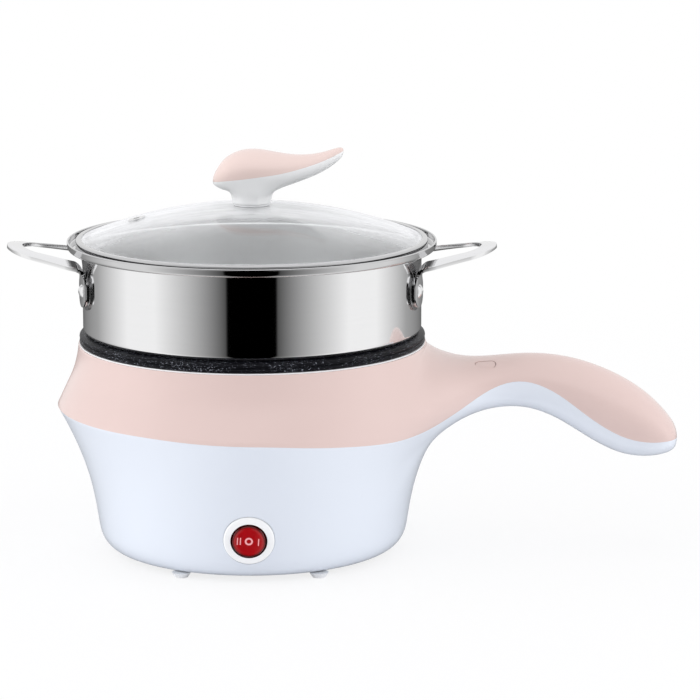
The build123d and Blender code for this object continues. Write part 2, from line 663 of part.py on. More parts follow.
def pan_profile():
    """Half section of the pan, with two beads round its rim."""
    bead_root = PAN_RIM_RADIUS - PAN_BEAD / 2
    wall_out = PAN_MOUTH_RADIUS + PAN_WALL
    floor_out = PAN_FLOOR_RADIUS + PAN_WALL
    inside = FilletPolyline(
        (PAN_MOUTH_RADIUS, LAND_Z),
        (PAN_FLOOR_RADIUS, PAN_BOTTOM_Z + PAN_FLOOR),
        (0, PAN_BOTTOM_Z + PAN_FLOOR),
        radius=PAN_CORNER,
    )
    outer = FilletPolyline(
        (0, PAN_BOTTOM_Z),
        (floor_out, PAN_BOTTOM_Z),
        (wall_out, RIM_Z),
        radius=PAN_CORNER + PAN_WALL,
    )
    outline = [
        inside,
        Line((0, PAN_BOTTOM_Z + PAN_FLOOR), (0, PAN_BOTTOM_Z)),
        outer,
        Line((wall_out, RIM_Z), (bead_root, RIM_Z)),
        RadiusArc((bead_root, RIM_Z), (bead_root, RIM_Z + PAN_BEAD), -PAN_BEAD / 2),
        RadiusArc((bead_root, RIM_Z + PAN_BEAD), (bead_root, PAN_TOP_Z), -PAN_BEAD / 2),
        Line((bead_root, PAN_TOP_Z), (BAND_RADIUS - STEP_BEND, LAND_Z)),
        Line((BAND_RADIUS - STEP_BEND, LAND_Z), (PAN_MOUTH_RADIUS, LAND_Z)),
    ]
    return make_face(outline)


keep("inner_pan", turned(pan_profile()))
keep("pan_seal", ring(PAN_RIM_RADIUS, pan_opening_radius, HOUSING_TOP, RIM_Z))

element_start = ELEMENT_GAP_ANGLE / 2 - 90
element_arc = 360 - ELEMENT_GAP_ANGLE
tube_ring = Rot(0, 0, element_start) * revolve(
    Plane.XZ * Pos(ELEMENT_CIRCLE, PLATE_Z) * Circle(ELEMENT_RADIUS), Axis.Z, element_arc
)
groove = Rot(0, 0, element_start) * revolve(
    Plane.XZ * Pos(ELEMENT_CIRCLE, PLATE_Z) * Circle(ELEMENT_RADIUS + RUNNING_CLEARANCE), Axis.Z, element_arc
)
for angle in (element_start, element_start + element_arc):
    x = ELEMENT_CIRCLE * cos(radians(angle))
    y = ELEMENT_CIRCLE * sin(radians(angle))
    tube_ring += Pos(x, y, PLATE_Z) * Sphere(ELEMENT_RADIUS)
    tube_ring += pillar(x, y, PLATE_Z - ELEMENT_LEG, PLATE_Z, ELEMENT_RADIUS)
    leg_foot = PLATE_Z - ELEMENT_LEG
    tube_ring += pillar(x, y, leg_foot - ELEMENT_PIN_LENGTH, leg_foot, ELEMENT_PIN_RADIUS)
    groove += Pos(x, y, PLATE_Z) * Sphere(ELEMENT_RADIUS + RUNNING_CLEARANCE)
plate = ring(PLATE_RADIUS, 0, PLATE_Z, PAN_BOTTOM_Z)
for place in post_places:
    plate += place * ring(POST_NECK_RADIUS, 0, post_top, PLATE_Z)
    plate -= place * ring(CLAMP_SCREW_RADIUS + RUNNING_CLEARANCE, 0, post_top, screw_top + SEAT_CLEARANCE)
keep("heating_plate", plate - groove)
keep("heating_element", tube_ring)

shield_outline = FilletPolyline(
    (0, SHIELD_Z + SHIELD_SHEET / 2),
    (SHIELD_RADIUS, SHIELD_Z + SHIELD_SHEET / 2),
    (SHIELD_RADIUS + SHIELD_FLARE, SHIELD_Z + SHIELD_LIP),
    radius=SHIELD_BEND,
)
shield = turned(trace(shield_outline, SHIELD_SHEET))
shield = shield & ring(SHIELD_RADIUS + SHIELD_LIP, 0, SHIELD_Z, SHIELD_Z + SHIELD_LIP)
for place in post_places:
    shield -= place * ring(POST_NECK_RADIUS + RUNNING_CLEARANCE, 0, 0, PLATE_Z)
keep("heat_shield", shield)

heater_screws = []
plate_holes = []


def heater_screw(x, y, seat):
    """Screw up into the plate, its head under a seat; the plate gets its hole."""
    screw = pillar(x, y, seat, PLATE_Z + HEATER_SCREW_BITE, HEATER_SCREW_RADIUS)
    screw += pillar(x, y, seat - HEATER_SCREW_HEAD_HEIGHT, seat, HEATER_SCREW_HEAD_RADIUS)
    heater_screws.append(screw)
    hole = pillar(x, y, seat, screw_hole_top, HEATER_SCREW_RADIUS + RUNNING_CLEARANCE)
    plate_holes.append(hole)
    return hole


screw_hole_top = PLATE_Z + HEATER_SCREW_BITE + SEAT_CLEARANCE
ear_foot = PLATE_Z - THERMOSTAT_EAR_SHEET
ear = SlotOverall(THERMOSTAT_EAR_PITCH + THERMOSTAT_EAR_WIDTH, THERMOSTAT_EAR_WIDTH)
thermostat_foot = PLATE_Z - THERMOSTAT_HEIGHT
thermostat = pillar(0, 0, thermostat_foot, PLATE_Z, THERMOSTAT_RADIUS)
thermostat += Pos(0, 0, ear_foot) * extrude(ear, THERMOSTAT_EAR_SHEET)
for side in (-1, 1):
    thermostat -= heater_screw(side * THERMOSTAT_EAR_PITCH / 2, 0, ear_foot)
    tab_y = side * THERMOSTAT_TAB_PITCH / 2
    thermostat += Pos(0, tab_y, thermostat_foot - THERMOSTAT_TAB[2] / 2) * Box(*THERMOSTAT_TAB)
keep("thermostat", thermostat)

fuse_z = PLATE_Z - FUSE_RADIUS - SEAT_CLEARANCE
fuse_axis = Pos(0, FUSE_Y, fuse_z) * Rot(0, 90, 0)
fuse = Cylinder(FUSE_RADIUS, FUSE_LENGTH) + Cylinder(FUSE_WIRE_RADIUS, FUSE_WIRE_SPAN)
keep("thermal_fuse", fuse_axis * fuse)

# clip: a channel over the fuse with one ear on the plate
channel_side = 2 * FUSE_RADIUS + 2 * SEAT_CLEARANCE
ear_inner = FUSE_Y - channel_side / 2
clip_screw_y = ear_inner - CLIP_SCREW_OFFSET
ear_outer = clip_screw_y - HEATER_SCREW_HEAD_RADIUS
clip = Box(CLIP_WIDTH, channel_side + 2 * CLIP_SHEET, channel_side + CLIP_SHEET, align=DOWNWARD)
clip -= Box(CLIP_WIDTH, channel_side, channel_side, align=DOWNWARD)
clip = Pos(0, FUSE_Y, PLATE_Z) * clip
clip_ear = Box(CLIP_WIDTH, ear_inner - ear_outer, CLIP_SHEET, align=DOWNWARD)
clip += Pos(0, (ear_inner + ear_outer) / 2, PLATE_Z) * clip_ear
clip -= heater_screw(0, clip_screw_y, PLATE_Z - CLIP_SHEET)
keep("fuse_clip", clip)
PARTS["heating_plate"] -= plate_holes
keep("heater_screws", Compound(children=heater_screws))

# ---------------------------------------------------------------- steamer

neck_radius = PAN_MOUTH_RADIUS - STEAMER_NECK_GAP - STEEL / 2
floor_z = STEP_Z - NECK_DEPTH
steamer_line = FilletPolyline(
    (0, floor_z),
    (neck_radius, floor_z),
    (neck_radius, STEP_Z),
    (BAND_MID_RADIUS, STEP_Z),
    (BAND_MID_RADIUS, LEDGE_Z),
    (LIP_MID_RADIUS, LEDGE_Z),
    (LIP_MID_RADIUS, STEAMER_TOP - ROLL_RADIUS),
    radius=(STEP_BEND, STEEL, STEP_BEND, LIP_BEND, LIP_BEND),
)
steamer = turned(trace(steamer_line, STEEL))
steamer &= ring(2 * BAND_RADIUS, 0, 0, 2 * STEAMER_TOP)
steamer += turned(Pos(LIP_MID_RADIUS, STEAMER_TOP - ROLL_RADIUS) * Circle(ROLL_RADIUS))
holes = [pillar(0, 0, floor_z - STEEL, floor_z + STEEL, STEAM_HOLE_RADIUS)]
for count in range(1, STEAM_HOLE_RINGS + 1):
    ring_places = PolarLocations(count * STEAM_HOLE_PITCH, STEAM_HOLES_IN_FIRST_RING * count)
    for place in ring_places.locations:
        holes.append(place * holes[0])
steamer -= holes

pad_angle = degrees(asin(PAD_Y / BAND_RADIUS))
bracket_radius = BAND_RADIUS + BRACKET_THICKNESS
pad_radius = bracket_radius + LOOP_THICKNESS


def pad_outline(margin, top, leg_width, top_width):
    """Rounded pad that narrows to a leg and ends level, drawn as (along Y, height)."""
    half = PAD_WIDTH / 2 + margin
    round_z = PAD_BOTTOM_Z - margin + half
    leg = leg_width / 2
    outline = [
        ThreePointArc((-half, round_z), (0, round_z - half), (half, round_z)),
        Polyline(
            (half, round_z),
            (half, PAD_SHOULDER_Z),
            (leg, PAD_NECK_Z),
            (top_width / 2, top),
            (-top_width / 2, top),
            (-leg, PAD_NECK_Z),
            (-half, PAD_SHOULDER_Z),
            (-half, round_z),
        ),
    ]
    return make_face(outline)


def curved_pad(outline, inner, outer, side):
    """Pad bent round the band, on one side of the X axis."""
    plane = Plane(origin=(0, 0, 0), x_dir=(0, side, 0), z_dir=(side, 0, 0))
    slab = Pos(0, side * PAD_Y, 0) * extrude(plane * outline, side * 2 * BAND_RADIUS)
    return slab & ring(outer, inner, 0, STEAMER_TOP)


loop_plane = Plane(
    origin=(LOOP_REACH, 0, LOOP_TIP_Z),
    x_dir=(cos(radians(LOOP_TILT)), 0, sin(radians(LOOP_TILT))),
    z_dir=(-sin(radians(LOOP_TILT)), 0, cos(radians(LOOP_TILT))),
)
loop_length = (LOOP_REACH - BAND_RADIUS * cos(radians(pad_angle))) / cos(radians(LOOP_TILT))


def tapered_tongue(length):
    """Flat shape that widens from two rounded corners at its own origin."""
    root = LOOP_TIP_HALF_WIDTH + LOOP_TAPER * length
    corners = [(0, LOOP_TIP_HALF_WIDTH), (0, -LOOP_TIP_HALF_WIDTH), (-length, -root), (-length, root)]
    shape = make_face(Polyline(*corners, close=True))
    return fillet(shape.vertices().group_by(Axis.X)[-1], LOOP_CORNER)


loop_outline = tapered_tongue(loop_length)
loop_outline -= offset(tapered_tongue(loop_length + 2 * LOOP_BAR_WIDTH), -LOOP_BAR_WIDTH)
loop = loop_plane * Pos(0, 0, -LOOP_THICKNESS) * extrude(loop_outline, LOOP_THICKNESS)
loop -= ring(bracket_radius, 0, 0, STEAMER_TOP)
root_x = pad_radius * cos(radians(pad_angle))
root_z = LOOP_TIP_Z - (LOOP_REACH - root_x) * tan(radians(LOOP_TILT))
brackets = Part()
rivets = []
for side in (-1, 1):
    leg_outline = pad_outline(0, root_z, LOOP_BAR_WIDTH, LOOP_BAR_WIDTH)
    loop += curved_pad(leg_outline, bracket_radius, pad_radius, side)
    bracket_outline = pad_outline(BRACKET_MARGIN, BRACKET_TOP_Z, BRACKET_LEG_WIDTH, BRACKET_TOP_WIDTH)
    brackets += curved_pad(bracket_outline, BAND_RADIUS, bracket_radius, side)
    bore_r = RIVET_SHANK_RADIUS + RUNNING_CLEARANCE
    axis = Rot(0, 0, side * pad_angle) * Pos(0, 0, RIVET_Z) * Rot(0, 90, 0)
    tail_r = BAND_RADIUS - STEEL - sphere_drop(BAND_RADIUS - STEEL, RIVET_TAIL_RADIUS)
    bore_length = pad_radius - tail_r + 2 * CUT_MARGIN
    bore = axis * Pos(0, 0, tail_r - CUT_MARGIN) * Cylinder(bore_r, bore_length, align=UPWARD)
    loop -= bore
    brackets -= bore
    head_ball = (RIVET_HEAD_RADIUS**2 + RIVET_HEAD_HEIGHT**2) / (2 * RIVET_HEAD_HEIGHT)
    dome = Pos(0, 0, pad_radius + RIVET_HEAD_HEIGHT - head_ball) * Sphere(head_ball)
    dome &= Pos(0, 0, pad_radius) * Cylinder(head_ball, head_ball, align=UPWARD)
    shank = Pos(0, 0, tail_r) * Cylinder(RIVET_SHANK_RADIUS, pad_radius - tail_r, align=UPWARD)
    tail = Cylinder(RIVET_TAIL_RADIUS, RIVET_TAIL_HEIGHT, align=UPWARD)
    tail = Pos(0, 0, tail_r - RIVET_TAIL_HEIGHT) * tail
    rivets.append(axis * (dome + shank + tail))
    steamer -= bore
    steamer -= bore.mirror(Plane.YZ)
keep("steamer_bowl", steamer)
keep("right_loop", loop)
keep("left_loop", loop.mirror(Plane.YZ))
keep("right_loop_brackets", brackets)
keep("left_loop_brackets", brackets.mirror(Plane.YZ))
keep("loop_rivets", Compound(children=rivets + [rivet.mirror(Plane.YZ) for rivet in rivets]))

# ---------------------------------------------------------------- lid

ball_z = GLASS_TOP_Z - GLASS_SPHERE
glass_rim_top = GLASS_SEAT_Z + GLASS_THICKNESS
rim_flat = ring(GLASS_RADIUS, HOOP_INNER_RADIUS, GLASS_SEAT_Z, glass_rim_top)
dome = Pos(0, 0, ball_z) * (Sphere(GLASS_SPHERE) - Sphere(GLASS_SPHERE - GLASS_THICKNESS))
dome &= ring(HOOP_INNER_RADIUS, 0, GLASS_SEAT_Z, GLASS_TOP_Z + CUT_MARGIN)
glass = dome + rim_flat
glass -= pillar(0, 0, HOOP_BOTTOM_Z, GLASS_TOP_Z + CUT_MARGIN, GLASS_HOLE_RADIUS)
vent_lean = degrees(asin(VENT_HOLE_X / GLASS_SPHERE))
vent_axis = Pos(0, 0, ball_z) * Rot(0, vent_lean, 0)
inner_ball = GLASS_SPHERE - GLASS_THICKNESS
vent_hole = Cylinder(VENT_HOLE_RADIUS + RUNNING_CLEARANCE, GLASS_THICKNESS + 2 * CUT_MARGIN, align=UPWARD)
glass -= vent_axis * Pos(0, 0, inner_ball - CUT_MARGIN) * vent_hole
keep("lid_glass", glass)
eyelet_foot = inner_ball - EYELET_FLANGE_THICKNESS
eyelet_height = GLASS_THICKNESS + 2 * EYELET_FLANGE_THICKNESS
eyelet = Pos(0, 0, eyelet_foot) * Cylinder(VENT_HOLE_RADIUS, eyelet_height, align=UPWARD)
for level in (eyelet_foot - sphere_drop(inner_ball, EYELET_FLANGE_RADIUS), GLASS_SPHERE):
    eyelet += Pos(0, 0, level) * Cylinder(EYELET_FLANGE_RADIUS, EYELET_FLANGE_THICKNESS, align=UPWARD)
eyelet_bore = Cylinder(EYELET_BORE_RADIUS, eyelet_height + 2 * CUT_MARGIN, align=UPWARD)
eyelet -= Pos(0, 0, eyelet_foot - CUT_MARGIN) * eyelet_bore
keep("vent_eyelet", vent_axis * eyelet)

hoop = ring(HOOP_RADIUS, HOOP_INNER_RADIUS, HOOP_BOTTOM_Z, glass_rim_top + HOOP_SHEET)
hoop -= ring(GLASS_RADIUS, 0, GLASS_SEAT_Z, glass_rim_top)
hoop = fillet(hoop.edges().filter_by(GeomType.CIRCLE).group_by(SortBy.RADIUS)[-1], HOOP_SHEET)
keep("lid_hoop", hoop)

knob_sections = [Vertex(KNOB_TAIL[0], 0, KNOB_Z + KNOB_TAIL[1])]
for x, top, _, bottom, half_width in KNOB_SECTIONS:
    knob_sections.append(oval(x, KNOB_Z + top, KNOB_Z + bottom, half_width))
knob_sections.append(Vertex(KNOB_BEAK[0], 0, KNOB_Z + KNOB_BEAK[1]))
knob = loft(knob_sections)
knob_seam = [(x, KNOB_Z + seam) for x, _, seam, _, _ in KNOB_SECTIONS]
reach = KNOB_BEAK[0] + STEM_RADIUS
knob_under = below(knob_seam, -reach, reach, KNOB_Z - STEM_HEIGHT, 2 * STEM_RADIUS)
keep("knob_cap", knob - knob_under)
stem = Pos(0, 0, KNOB_Z) * Cone(STEM_RADIUS, STEM_TOP_RADIUS, STEM_HEIGHT, align=UPWARD)
knob_base = (knob & knob_under) + stem
screw_tip = KNOB_Z + KNOB_SCREW_BITE
knob_base -= pillar(0, 0, KNOB_Z, screw_tip, KNOB_SCREW_RADIUS + RUNNING_CLEARANCE)
keep("knob_base", knob_base)
keep("knob_gasket", ring(GASKET_RADIUS, GLASS_HOLE_RADIUS, GLASS_TOP_Z, KNOB_Z))
glass_under = GLASS_TOP_Z - GLASS_THICKNESS - sphere_drop(inner_ball, WASHER_RADIUS)
keep("knob_washer", ring(WASHER_RADIUS, GLASS_HOLE_RADIUS, glass_under - WASHER_THICKNESS, glass_under))
head_top = glass_under - WASHER_THICKNESS
knob_screw = ring(KNOB_SCREW_HEAD_RADIUS, 0, head_top - KNOB_SCREW_HEAD_HEIGHT, head_top)
knob_screw += ring(KNOB_SCREW_RADIUS, 0, head_top, screw_tip - SEAT_CLEARANCE)
knob_screw -= cross_recess(0, 0, head_top - KNOB_SCREW_HEAD_HEIGHT, KNOB_SCREW_HEAD_RADIUS)
keep("knob_screw", knob_screw)

# ---------------------------------------------------------------- export

os.makedirs("parts", exist_ok=True)
for name, shape in PARTS.items():
    export_step(shape, f"parts/{name}.step")
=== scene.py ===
"""Dresses the electric hot pot: smooth shells, steel, glass, finishes and a plain studio."""
from math import asin, atan2, cos, pi, radians, sin, sqrt
from types import SimpleNamespace

import bmesh
import bpy
from mathutils import Matrix, Vector


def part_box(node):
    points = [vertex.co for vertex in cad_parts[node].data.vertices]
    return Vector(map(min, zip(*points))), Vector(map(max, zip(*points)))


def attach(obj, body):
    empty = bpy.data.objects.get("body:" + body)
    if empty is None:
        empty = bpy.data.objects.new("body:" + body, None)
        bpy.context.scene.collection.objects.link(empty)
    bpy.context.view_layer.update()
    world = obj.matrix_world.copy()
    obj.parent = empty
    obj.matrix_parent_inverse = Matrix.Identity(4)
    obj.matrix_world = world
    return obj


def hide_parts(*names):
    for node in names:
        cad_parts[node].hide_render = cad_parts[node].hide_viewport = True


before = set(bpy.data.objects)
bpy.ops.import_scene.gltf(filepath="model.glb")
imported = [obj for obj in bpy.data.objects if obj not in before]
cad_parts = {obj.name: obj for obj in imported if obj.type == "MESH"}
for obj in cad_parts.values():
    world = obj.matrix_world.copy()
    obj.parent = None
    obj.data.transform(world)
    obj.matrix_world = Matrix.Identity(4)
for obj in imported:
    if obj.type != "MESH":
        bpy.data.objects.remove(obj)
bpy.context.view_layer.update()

bl_info = {
    "name": "Electric hot pot",
    "version": (1, 0, 0),
    "blender": (4, 5, 0),
    "location": "3D View > Sidebar > Hot pot",
    "description": "Builds the visible pieces of an electric hot pot on its CAD frame",
    "category": "Add Mesh",
}

MM = 0.001
FULL_TURN = 2 * pi


# ---------------------------------------------------------------- settings


def length(name, description, millimetres):
    """A length that a user may change."""
    return bpy.props.FloatProperty(
        name=name,
        description=description,
        default=millimetres * MM,
        precision=5,
        unit="LENGTH",
        subtype="DISTANCE",
    )


def tone(name, description, red, green, blue):
    """A colour that a user may change, given as it looks on a screen, 0 to 255."""
    linear = [((c / 255 + 0.055) / 1.055) ** 2.4 for c in (red, green, blue)]
    return bpy.props.FloatVectorProperty(
        name=name, description=description, default=linear, min=0, max=1, size=3, subtype="COLOR"
    )


class HousingSizes(bpy.types.PropertyGroup):
    """Sizes of the two plastic shells."""

    wall: length("Wall", "Thickness of both shells", 2.4)
    groove: length("Seam groove", "Bevel on each shell's edge at the seam", 0.5)
    switch_hole: length("Switch hole", "Radius of the hole for the switch", 12.1)
    switch_recess: length("Switch recess", "Radius of the recess round the switch's bezel", 13.5)


class SteamerSizes(bpy.types.PropertyGroup):
    """Sizes of the steamer, its loops and brackets."""

    sheet: length("Sheet", "Thickness of the drawn steel", 0.8)
    band: length("Band", "Outer radius of the band", 90.0)
    rim: length("Rim", "Outer radius of the rolled rim", 98.0)
    roll: length("Roll", "Radius of the rolled edge", 0.5)
    hole: length("Steam hole", "Radius of one steam hole", 2.6)
    pitch: length("Hole pitch", "Distance from one ring of holes to the next", 15.5)
    loop_bar: length("Loop bar", "Thickness of the loop handles' bar", 2.0)
    loop_bend: length("Loop bend", "Radius of the bend from the pad to the loop", 6.0)
    bracket: length("Bracket", "Thickness of the plates behind the pads", 0.9)


class LidSizes(bpy.types.PropertyGroup):
    """Sizes of the lid and its knob."""

    glass: length("Glass", "Thickness of the glass", 2.8)
    dome: length("Dome", "Radius of the sphere that the dome is part of", 239.0)
    hoop: length("Hoop", "Outer radius of the steel hoop", 93.4)
    lip: length("Hoop lip", "Width of the hoop seen from above", 3.0)
    groove: length("Knob groove", "Bevel on each half of the knob at its seam", 0.22)


class SwitchSizes(bpy.types.PropertyGroup):
    """Sizes of the marks on the rocker."""

    mark_height: length("Mark height", "Height of the marks", 3.9)
    mark_line: length("Mark line", "Width of the marks' lines", 0.75)
    mark_relief: length("Mark relief", "How far the marks stand off the face", 0.06)


class PotColours(bpy.types.PropertyGroup):
    """Colours of the finishes."""

    white: tone("White", "Lower housing and bottom cover", 230, 236, 245)
    pink: tone("Pink", "Upper housing", 226, 202, 196)
    clear_white: tone("Clear white", "Lower half of the knob and the switch's bezel", 253, 254, 254)
    knob_pink: tone("Knob pink", "Upper half of the knob", 236, 214, 207)
    red: tone("Red", "Rocker", 182, 6, 18)
    mark: tone("Marks", "Marks on the rocker", 255, 176, 180)
    coating: tone("Coating", "Non-stick coating of the pan", 15, 16, 21)
    rubber: tone("Silicone", "Feet, seals and gasket", 250, 251, 252)


def millimetres(group):
    """The lengths of a property group, as plain numbers of millimetres."""
    names = group.__annotations__
    return SimpleNamespace(**{name: getattr(group, name) / MM for name in names})


# ---------------------------------------------------------------- mesh helpers


def new_ring(bm, count, place):
    """A closed ring of vertices, each at place(index)."""
    ring = bmesh.ops.create_circle(bm, segments=count, radius=1)["verts"]
    for index, vert in enumerate(ring):
        vert.co = place(index)
    return ring


def circle(bm, count, radius, middle, upright=False):
    """A ring round a middle: level, or upright on the XZ plane."""
    x, y, z = middle

    def place(index):
        across = radius * cos(FULL_TURN * index / count)
        along = radius * sin(FULL_TURN * index / count)
        return (x + across, y, z + along) if upright else (x + across, y + along, z)

    return new_ring(bm, count, place)


def extend(bm, ring, place):
    """Extrude a ring and put each new vertex at place(index); returns the new ring in order."""
    edges = [bm.edges.get(pair) for pair in zip(ring, ring[1:] + ring[:1])]
    grown = bmesh.ops.extrude_edge_only(bm, edges=edges)["geom"]
    fresh = {v for v in grown if isinstance(v, bmesh.types.BMVert)}
    follow = [next(e.other_vert(v) for e in v.link_edges if e.other_vert(v) in fresh) for v in ring]
    for index, vert in enumerate(follow):
        vert.co = place(index)
    return follow


def rounded(bm, verts, points, segments):
    """Round the corners of an outline whose points may have a third number, the rounding."""
    for rounding in sorted({p[2] for p in points if len(p) > 2}):
        corners = [v for v, p in zip(verts, points) if len(p) > 2 and p[2] == rounding]
        shape = {"offset": rounding, "offset_type": "OFFSET", "segments": segments}
        bmesh.ops.bevel(bm, geom=corners, **shape, profile=0.5, affect="VERTICES", material=-1)


def flat_outline(bm, points, segments):
    """A flat face in the XY plane from points given as (x, y) or (x, y, rounding)."""
    verts = [bm.verts.new((p[0], p[1], 0)) for p in points]
    bm.faces.new(verts)
    rounded(bm, verts, points, segments)


def turn(bm, steps):
    """Spin everything in a bmesh once round the Z axis."""
    turning = {"cent": (0, 0, 0), "axis": (0, 0, 1), "angle": FULL_TURN, "use_merge": True}
    bmesh.ops.spin(bm, geom=bm.verts[:] + bm.edges[:], steps=steps, **turning)
    bmesh.ops.remove_doubles(bm, verts=bm.verts, dist=0.001)
    bmesh.ops.recalc_face_normals(bm, faces=bm.faces)


def turned(points, steps, segments=6, closed=True):
    """A bmesh turned about Z from points of (radius, height) or (radius, height, rounding)."""
    bm = bmesh.new()
    verts = [bm.verts.new((p[0], 0, p[1])) for p in points]
    if closed:
        bm.faces.new(verts)
    else:
        for pair in zip(verts, verts[1:]):
            bm.edges.new(pair)
    rounded(bm, verts, points, segments)
    bmesh.ops.delete(bm, geom=bm.faces[:], context="FACES_ONLY")
    turn(bm, steps)
    return bm


def dome_arc(sphere, crown, start, end, count):
    """Points on a sphere's arc between two radii from the axis."""
    radii = [start + (end - start) * index / count for index in range(count + 1)]
    return [(radius, crown - sphere + sqrt(sphere**2 - radius**2)) for radius in radii]


def moved(bm, place, turning=None):
    """Turn a bmesh about the origin, and then move it."""
    if turning is not None:
        bmesh.ops.rotate(bm, cent=(0, 0, 0), matrix=turning, verts=bm.verts)
    bmesh.ops.translate(bm, vec=place, verts=bm.verts)
    return bm


def on_axis(bm, origin, outward):
    """Turn and move a bmesh made along +Z so that it points outward from an origin."""
    return moved(bm, origin, Vector(outward).to_track_quat("Z", "Y").to_matrix())


def drum(radius, low, high):
    """A bmesh cylinder about Z between two heights."""
    bm = bmesh.new()
    ends = {"radius1": radius, "radius2": radius, "cap_ends": True}
    bmesh.ops.create_cone(bm, segments=96, depth=high - low, **ends)
    return moved(bm, (0, 0, (low + high) / 2))


def block(size):
    """A bmesh box about the origin."""
    bm = bmesh.new()
    bmesh.ops.create_cube(bm, size=1)
    bmesh.ops.scale(bm, vec=size, verts=bm.verts)
    return bm


def take_in(bm, other):
    """Add another bmesh to a bmesh, and free it."""
    mesh = bpy.data.meshes.new("part")
    other.to_mesh(mesh)
    other.free()
    bm.from_mesh(mesh)
    bpy.data.meshes.remove(mesh)


def between(pairs, x):
    """Straight-line reading of a table of (x, value) pairs, held level past its ends."""
    if x <= pairs[0][0]:
        return pairs[0][1]
    for (x0, y0), (x1, y1) in zip(pairs, pairs[1:]):
        if x <= x1:
            return y0 + (y1 - y0) * (x - x0) / (x1 - x0)
    return pairs[-1][1]


def cage_growth(count):
    """How much larger than its circle a ring of a cage is, as subdivision draws it in."""
    return 3 / (2 + cos(FULL_TURN / count))


def oval_place(section, above, below):
    """Places of a ring's vertices round a section; number 0 and number above lie on the seam."""
    x, top, seam, bottom, half_width = section
    centre, rise = (top + bottom) / 2, (top - bottom) / 2
    lean = asin((seam - centre) / rise)
    grow = cage_growth(above + below)

    def place(index):
        if index <= above:
            angle = lean + (pi - 2 * lean) * index / above
        else:
            angle = pi - lean + (pi + 2 * lean) * (index - above) / below
        return (x, half_width * cos(angle) * grow, centre + rise * sin(angle) * grow)

    return place


def keep_side(bm, seam_line, upper):
    """Keep the faces over a seam, or those under it."""
    centres = [(face, face.calc_center_median()) for face in bm.faces]
    spare = [face for face, at in centres if (at.z > between(seam_line, at.x)) != upper]
    bmesh.ops.delete(bm, geom=spare, context="FACES")


def object_from(bm, name):
    """An object at the origin from a bmesh in millimetres."""
    bmesh.ops.scale(bm, vec=(MM, MM, MM), verts=bm.verts)
    mesh = bpy.data.meshes.new(name)
    bm.to_mesh(mesh)
    bm.free()
    obj = bpy.data.objects.new(name, mesh)
    bpy.context.scene.collection.objects.link(obj)
    return obj


def add_modifier(obj, kind, **settings):
    """Add a modifier with its settings."""
    modifier = obj.modifiers.new(kind.title(), kind)
    for name, value in settings.items():
        setattr(modifier, name, value)


def settle(obj):
    """Apply an object's modifiers to its mesh."""
    bpy.context.view_layer.update()
    graph = bpy.context.evaluated_depsgraph_get()
    mesh = bpy.data.meshes.new_from_object(obj.evaluated_get(graph))
    obj.modifiers.clear()
    obj.data = mesh


def give_wall(obj, wall, offset=-1.0, levels=0, edge=0.0, segments=2, angle=40):
    """Subdivide a sheet, give it its thickness and soften its edges."""
    if levels:
        add_modifier(obj, "SUBSURF", levels=levels, render_levels=levels, use_limit_surface=False)
    add_modifier(obj, "SOLIDIFY", thickness=wall * MM, offset=offset, use_even_offset=True)
    if edge:
        limit = {"limit_method": "ANGLE", "angle_limit": radians(angle), "use_clamp_overlap": True}
        shape = {"width": edge * MM, "segments": segments, "miter_outer": "MITER_ARC"}
        add_modifier(obj, "BEVEL", **shape, **limit)
    settle(obj)


def cut(obj, cutters):
    """Take closed bmeshes, in millimetres, out of an object."""
    for bm in cutters:
        cutter = object_from(bm, "cutter")
        add_modifier(obj, "BOOLEAN", operation="DIFFERENCE", solver="EXACT", object=cutter)
        settle(obj)
        bpy.data.objects.remove(cutter)


def dress(obj, finish, body, slot, *stands_for, angle=35):
    """Give a finished object its shading, its finish and its body.

    Edges steeper than the angle, in degrees, stay crisp.
    """
    obj.data.polygons.foreach_set("use_smooth", [True] * len(obj.data.polygons))
    obj.data.set_sharp_from_angle(angle=radians(angle))
    obj.data.materials.clear()
    obj.data.materials.append(FINISHES[finish])
    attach(obj, body)
    if stands_for:
        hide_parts(*stands_for)


# ---------------------------------------------------------------- finishes


def operator_pair(operation):
    """An operator on a Shade, and its reflected form."""

    def plain(self, other):
        return self.maths(operation, self, other)

    def reflected(self, other):
        return self.maths(operation, other, self)

    return plain, reflected


class Shade:
    """A socket whose value can be used in sums."""

    def __init__(self, nodes, socket):
        self.nodes = nodes
        self.socket = socket

    def maths(self, operation, *values):
        return self.nodes.node("ShaderNodeMath", {"operation": operation}, dict(enumerate(values)))

    __add__, __radd__ = operator_pair("ADD")
    __sub__, __rsub__ = operator_pair("SUBTRACT")
    __mul__, __rmul__ = operator_pair("MULTIPLY")
    __truediv__, __rtruediv__ = operator_pair("DIVIDE")
    __pow__, __rpow__ = operator_pair("POWER")
    __gt__ = operator_pair("GREATER_THAN")[0]
    __lt__ = operator_pair("LESS_THAN")[0]


